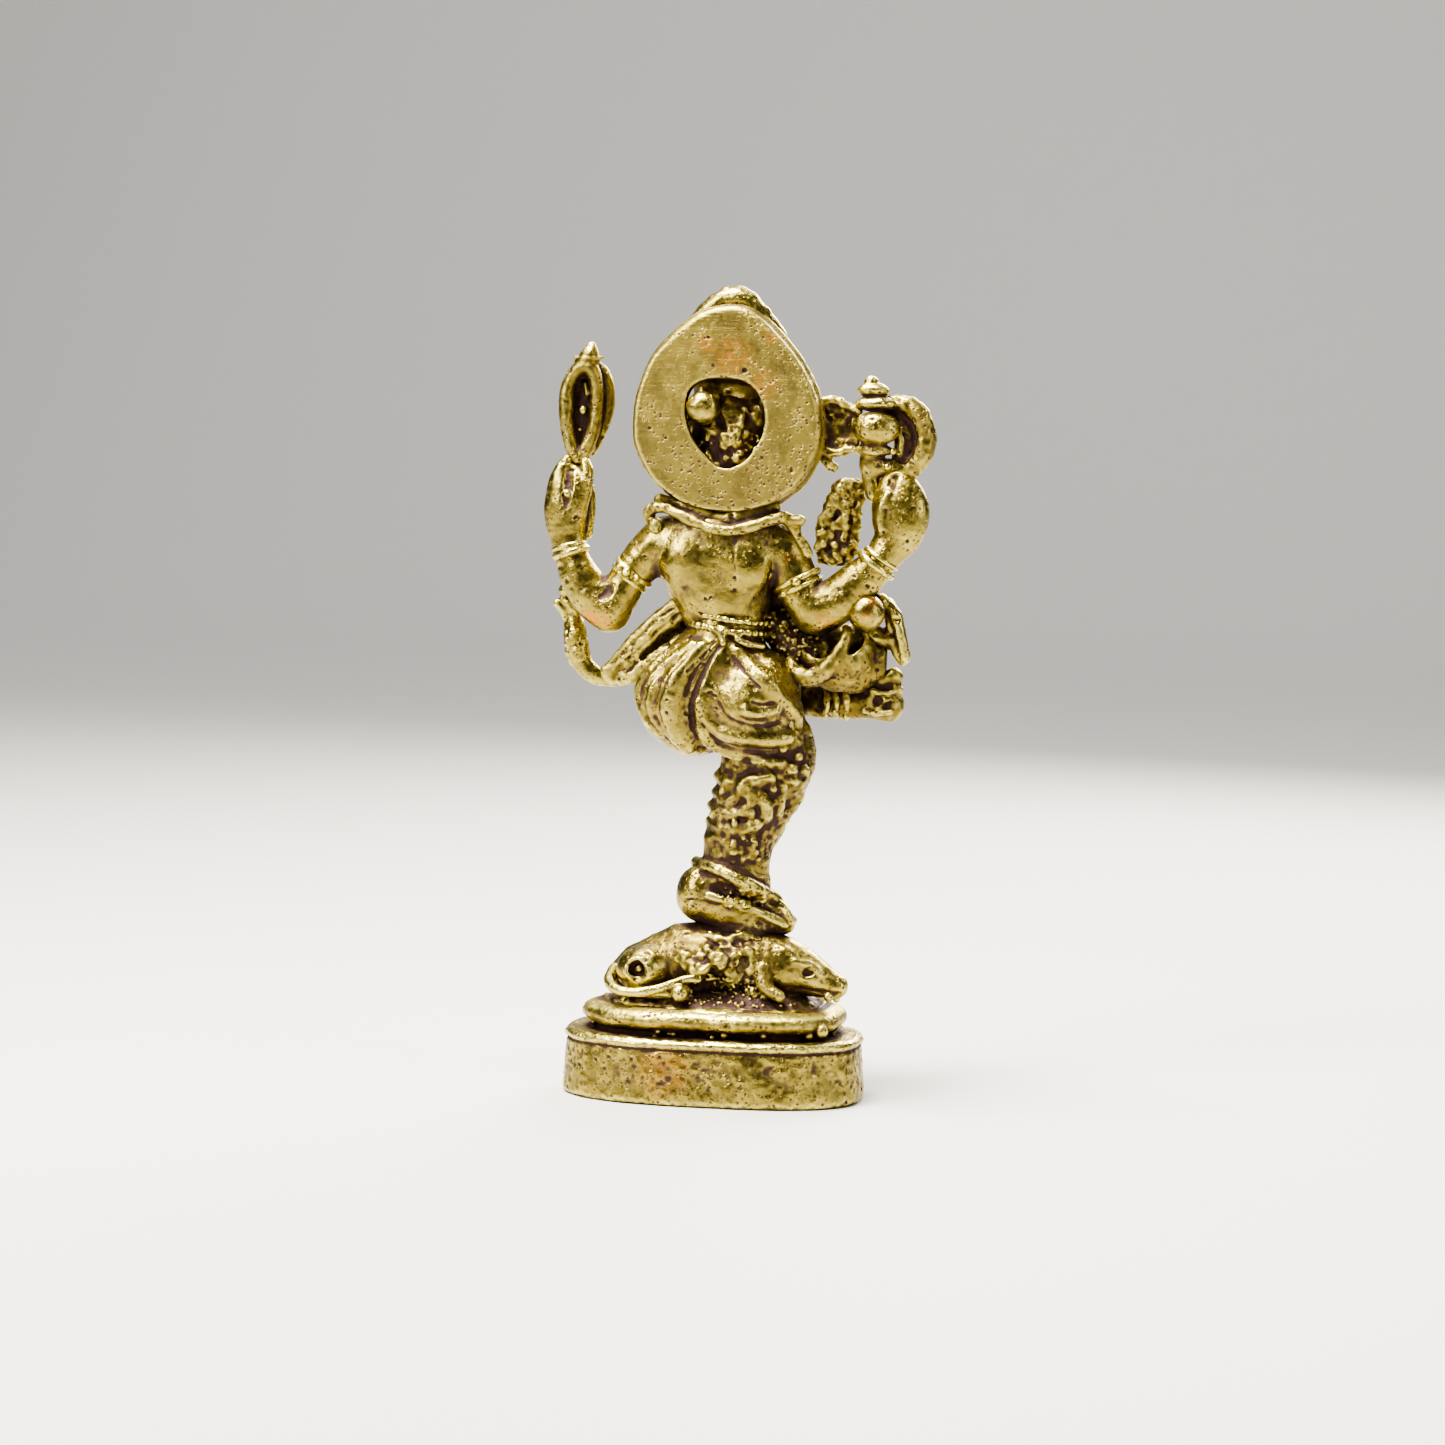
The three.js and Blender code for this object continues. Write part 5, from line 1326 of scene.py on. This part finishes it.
def headWax(wax):
    egg(wax, (0.2, -0.75, 28.9), (2.2, 1.75, 2.45), blend=0.4)
    egg(wax, (0.95, -1.6, 30.1), (1.0, 0.9, 0.95), blend=0.4)
    egg(wax, (-0.6, -1.6, 30.1), (1.0, 0.9, 0.95), blend=0.4)
    limb(wax, [(0.2, -0.4, 27.4, 1.5), (0.3, -0.1, 26.0, 1.2)], blend=0.4)
    for x in (0.95, -0.65):                                              # eyes and the brows over them
        egg(wax, (x, -2.3, 29.0), (0.32, 0.2, 0.2), blend=0.06)
        limb(wax, [(x - 0.45, -2.2, 29.25, 0.09), (x, -2.5, 29.4, 0.1), (x + 0.45, -2.25, 29.25, 0.09)],
            blend=0.06)
    limb(wax, [(0.95, -2.2, 27.9, 0.26), (1.2, -2.9, 27.6, 0.2), (1.35, -3.4, 27.6, 0.1)], blend=0.15)
    limb(wax, [(-0.65, -2.2, 27.9, 0.26), (-0.95, -2.95, 27.5, 0.22), (-1.1, -3.5, 27.45, 0.14)],
        blend=0.15)
    # what the hole in the halo shows: torn wax and strings of it over the back of the head
    rng = np.random.default_rng(341)
    for k in range(22):
        x, z = rng.uniform(-1.6, 1.7), rng.uniform(27.4, 31.1)
        trace(wax, [(x, z, 0.1), (x + rng.uniform(-0.3, 0.3), z + rng.uniform(-0.5, 0.5), 0.15),
            (x + rng.uniform(-0.4, 0.4), z + rng.uniform(-0.7, 0.7), 0.08)],
              lift=rng.uniform(-0.6, 0.2), carve=k % 2 == 0, blend=0.2)
    cobble(wax, (-1.3, 0.2, 27.6), (0.2, 1.4, 29.0), 0.08, 343)
    roughen(wax, 342, lumps=0.1, grit=0.045, pits=60, pitSize=(0.06, 0.12))


head = {"nodes": ["head", "tusk"], "middle": (0.15, -1.44, 28.43), "draw": headWax,
    "finish": patinatedBrass}
cast("head", head)


def trunkWax(wax):
    limb(wax, [(0.15, -2.0, 29.0, 0.85), (0.15, -2.9, 28.2, 0.72), (0.05, -3.5, 27.0, 0.62),
        (-0.3, -3.75, 25.7, 0.55), (-1.0, -3.7, 24.5, 0.47), (-1.7, -3.5, 23.8, 0.4),
        (-2.3, -3.4, 24.0, 0.34), (-2.45, -3.4, 24.6, 0.3)], blend=0.2)
    for k in range(11):                                                  # creases across it
        z = 28.0 - 0.34 * k
        trace(wax, [(0.75 - 0.12 * k, z, 0.06), (0.1 - 0.09 * k, z - 0.12, 0.07),
            (-0.6 - 0.09 * k, z, 0.06)], way=-1, lift=0.2, carve=True, blend=0.08, fallback=-3.8)
    roughen(wax, 351, lumps=0.03, grit=0.012, pits=16)


trunk = {"nodes": ["trunk"], "middle": (-0.91, -3.52, 26.07), "draw": trunkWax, "finish": polishedBrass}
cast("trunk", trunk)


def crownWax(wax):
    limb(wax, [(0.05, -1.2, 30.9, 1.75), (0.0, -1.2, 31.8, 1.5), (-0.1, -1.1, 32.8, 1.15),
        (-0.15, -1.0, 33.8, 0.75), (-0.18, -0.9, 34.55, 0.45)], blend=0.2)
    limb(wax, [(1.75, 0.2, 33.3, 0.42), (1.05, 0.3, 34.05, 0.5), (0.3, 0.35, 34.6, 0.5),
        (-0.5, 0.35, 34.62, 0.5), (-1.2, 0.3, 33.95, 0.5), (-2.0, 0.2, 33.1, 0.42)], blend=0.3)
    egg(wax, (-0.2, 0.1, 34.6), (0.65, 0.7, 0.55), blend=0.3)
    for x, z in ((1.25, 34.2), (0.8, 34.65), (0.25, 34.98), (-0.35, 35.0), (-0.9, 34.7), (-1.45, 34.15)):
        egg(wax, (x, 0.35, z), (0.24, 0.24, 0.22), blend=0.12)
    for z, r in ((31.0, 1.4), (31.9, 1.5), (32.8, 1.2), (33.6, 0.9)):
        ring = [(-0.03 + r * math.cos(a), -1.15 + r * math.sin(a), z, 0.15) for a in np.linspace(0,
            2 * math.pi, 14, endpoint=False)]
        limb(wax, ring, blend=0.08, closed=True, steps=3)
        for a in np.arange(0, 2 * math.pi, 0.42 / r):
            egg(wax, (-0.03 + r * math.cos(a), -1.15 + r * math.sin(a), z + 0.32), (0.15, 0.15, 0.2),
                blend=0.06)
    roughen(wax, 361, lumps=0.03, grit=0.015, pits=30)


crown = {"nodes": ["crown"], "middle": (0.04, -1.15, 32.91), "draw": crownWax, "finish": polishedBrass}
cast("crown", crown)


def earWax(side):
    def draw(wax):
        c = 0.19
        outline = [(1.5, 30.2), (2.6, 30.45), (3.7, 29.9), (4.1, 28.8), (3.6, 27.6), (2.8, 26.95),
            (2.0, 27.5), (1.5, 28.6)]
        plate(wax, [(c + side * (x - c), z) for x, z in outline], -0.75, 0.5, edge=0.2,
            lean=(0.1 * side, 0))
        trace(wax, [(c + side * (x - c), z, 0.13) for x, z in outline[1:6]], way=-1, lift=0.3)
        egg(wax, (c + side * 2.6, -1.1, 28.7), (0.7, 0.22, 1.0), carve=True, blend=0.2)
        roughen(wax, 370 + side, lumps=0.04, grit=0.015, pits=16)
    return draw


leftEar = {"nodes": ["left_ear"], "middle": (3.08, -0.76, 28.7), "draw": earWax(1), "finish": satinBrass}
cast("left_ear", leftEar)

rightEar = {"nodes": ["right_ear"], "middle": (-2.75, -0.77, 28.7), "draw": earWax(-1),
    "finish": satinBrass}
cast("right_ear", rightEar)


patinaAndShadeShape = {"nearBlur": 0.28, "wideBlur": 0.75, "nearShare": 1.6, "wideShare": 1.1, "outside": 0.22}


def patinaAndShadeAttribute():
    # how shut in each vertex is: the share of solid metal round it, at two sizes of neighbourhood;
    # a flat face gives a half, a deep crevice nearly one. The materials turn this into painted shade as
    # well as patina, darker where other parts crowd round.
    step = 2 * voxel
    first = np.floor(np.array(cadBox[0]) / mm / step) * step - 8 * step
    count = np.ceil((np.array(cadBox[1]) / mm - first) / step).astype(int) + 9
    solid = np.zeros(count, np.float32)
    for piece in pieces:
        wax = piece["wax"]
        start = np.rint((wax["first"] - first) / step).astype(int)
        inside = (wax["field"][::2, ::2, ::2] < 0).astype(np.float32)
        low = np.maximum(start, 0)
        high = np.minimum(start + inside.shape, count)
        here = tuple(slice(a, b) for a, b in zip(low, high))
        there = tuple(slice(a - s, b - s) for a, b, s in zip(low, high, start))
        solid[here] = np.maximum(solid[here], inside[there])
    near = soften(solid, patinaAndShadeShape["nearBlur"] / step)
    wide = soften(solid, patinaAndShadeShape["wideBlur"] / step)
    for piece in pieces:
        mesh = piece["object"].data
        points = piece["points"]
        normals = np.zeros(len(points) * 3, np.float32)
        mesh.vertex_normals.foreach_get("vector", normals)
        outside = points + normals.reshape(-1, 3) * patinaAndShadeShape["outside"]
        shut = patinaAndShadeShape["nearShare"] * sample(near, first, step, outside)
        shut = shut + patinaAndShadeShape["wideShare"] * sample(wide, first, step, outside)
        mesh.attributes.new("shutInPatinaAndShade", "FLOAT", "POINT").data.foreach_set("value", shut.astype(np.float32))
        mesh.attributes.new("hollow", "FLOAT", "POINT").data.foreach_set("value",
            piece["hollow"].astype(np.float32))


patinaAndShadeAttribute()
print("patina masks", round(time.time() - startTime, 1), "s")


def paleFloor():
    # a wide sheet of plain paper that curves up far behind: flat, then a quarter circle, then upright
    across = np.linspace(-1.2, 1.2, 9)
    turn = np.linspace(0, math.pi / 2, 17)
    y = np.concatenate([[1.0], np.linspace(0.6, -0.45, 12), -0.45 - 0.25 * np.sin(turn[1:]), [-0.7]])
    z = np.concatenate([[0.0], np.zeros(12), 0.25 * (1 - np.cos(turn[1:])), [1.4]])
    points = np.stack([np.repeat(across, len(y)), np.tile(y, len(across)), np.tile(z, len(across))], 1)
    i, j = np.meshgrid(np.arange(len(across) - 1), np.arange(len(y) - 1), indexing="ij")
    a = (i * len(y) + j).ravel()
    faces = np.stack([a, a + 1, a + 1 + len(y), a + len(y)], 1)
    mesh = bpy.data.meshes.new("floor")
    mesh.from_pydata(points.tolist(), [], faces.tolist())
    mesh.shade_smooth()
    floor = bpy.data.objects.new("floor", mesh)
    bpy.context.scene.collection.objects.link(floor)
    material = bpy.data.materials.new("pale_paper")
    material.use_nodes = True
    shader = material.node_tree.nodes["Principled BSDF"]
    shader.inputs["Base Color"].default_value = linear("#C4C2BE")
    shader.inputs["Roughness"].default_value = 0.85
    mesh.materials.append(material)
    return floor


def softLight(name, place, aim, size, power, colour):
    # a square soft box that faces the aim point
    data = bpy.data.lights.new(name, "AREA")
    data.shape = "RECTANGLE"
    data.size, data.size_y = size
    data.energy = power
    data.color = linear(colour)[:3]
    light = bpy.data.objects.new(name, data)
    light.location = place
    light.rotation_euler = (Vector(aim) - Vector(place)).to_track_quat("-Z", "Y").to_euler()
    bpy.context.scene.collection.objects.link(light)


paleFloor()
middle = (0, 0, 0.018)
softLight("top_box", (0.03, 0.02, 0.17), middle, (0.08, 0.07), 0.86, "#FFFDF6")
softLight("left_box", (0.12, 0.12, 0.13), middle, (0.07, 0.07), 0.32, "#FFFFFF")
softLight("back_box", (-0.05, -0.15, 0.11), middle, (0.12, 0.08), 0.42, "#FFFBF2")
softLight("backdrop_box", (0, -0.35, 0.6), (0, -0.72, 0.2), (0.9, 0.5), 3.4, "#FFFFFF")
softLight("right_box", (-0.16, 0.07, 0.07), middle, (0.05, 0.08), 0.08, "#F6F9FF")
world = bpy.data.worlds.new("studio")
world.use_nodes = True
world.node_tree.nodes["Background"].inputs["Color"].default_value = linear("#E4E6EA")
world.node_tree.nodes["Background"].inputs["Strength"].default_value = 0.11
bpy.context.scene.world = world
bpy.context.scene.view_settings.look = "AgX - High Contrast"

cameraShape = {"distance": 0.140, "height": 0.025, "turn": 8.0, "roll": 1.5, "lens": 80,
    "aim": (0, 0, 0.0163)}
camera = bpy.data.objects.new("camera", bpy.data.cameras.new("camera"))
camera.data.lens = cameraShape["lens"]
camera.data.sensor_width = 36
turn = math.radians(cameraShape["turn"])
camera.location = (-math.sin(turn) * cameraShape["distance"], math.cos(turn) * cameraShape["distance"],
    cameraShape["height"])
facing = (Vector(cameraShape["aim"]) - camera.location).to_track_quat("-Z", "Y").to_matrix().to_4x4()
camera.rotation_euler = (facing @ Matrix.Rotation(math.radians(cameraShape["roll"]), 4, "Z")).to_euler()
camera.data.clip_start = 0.001
bpy.context.scene.collection.objects.link(camera)
bpy.context.scene.camera = camera

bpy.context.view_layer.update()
print("pieces", len(pieces), "finished in", round(time.time() - startTime, 1), "s")
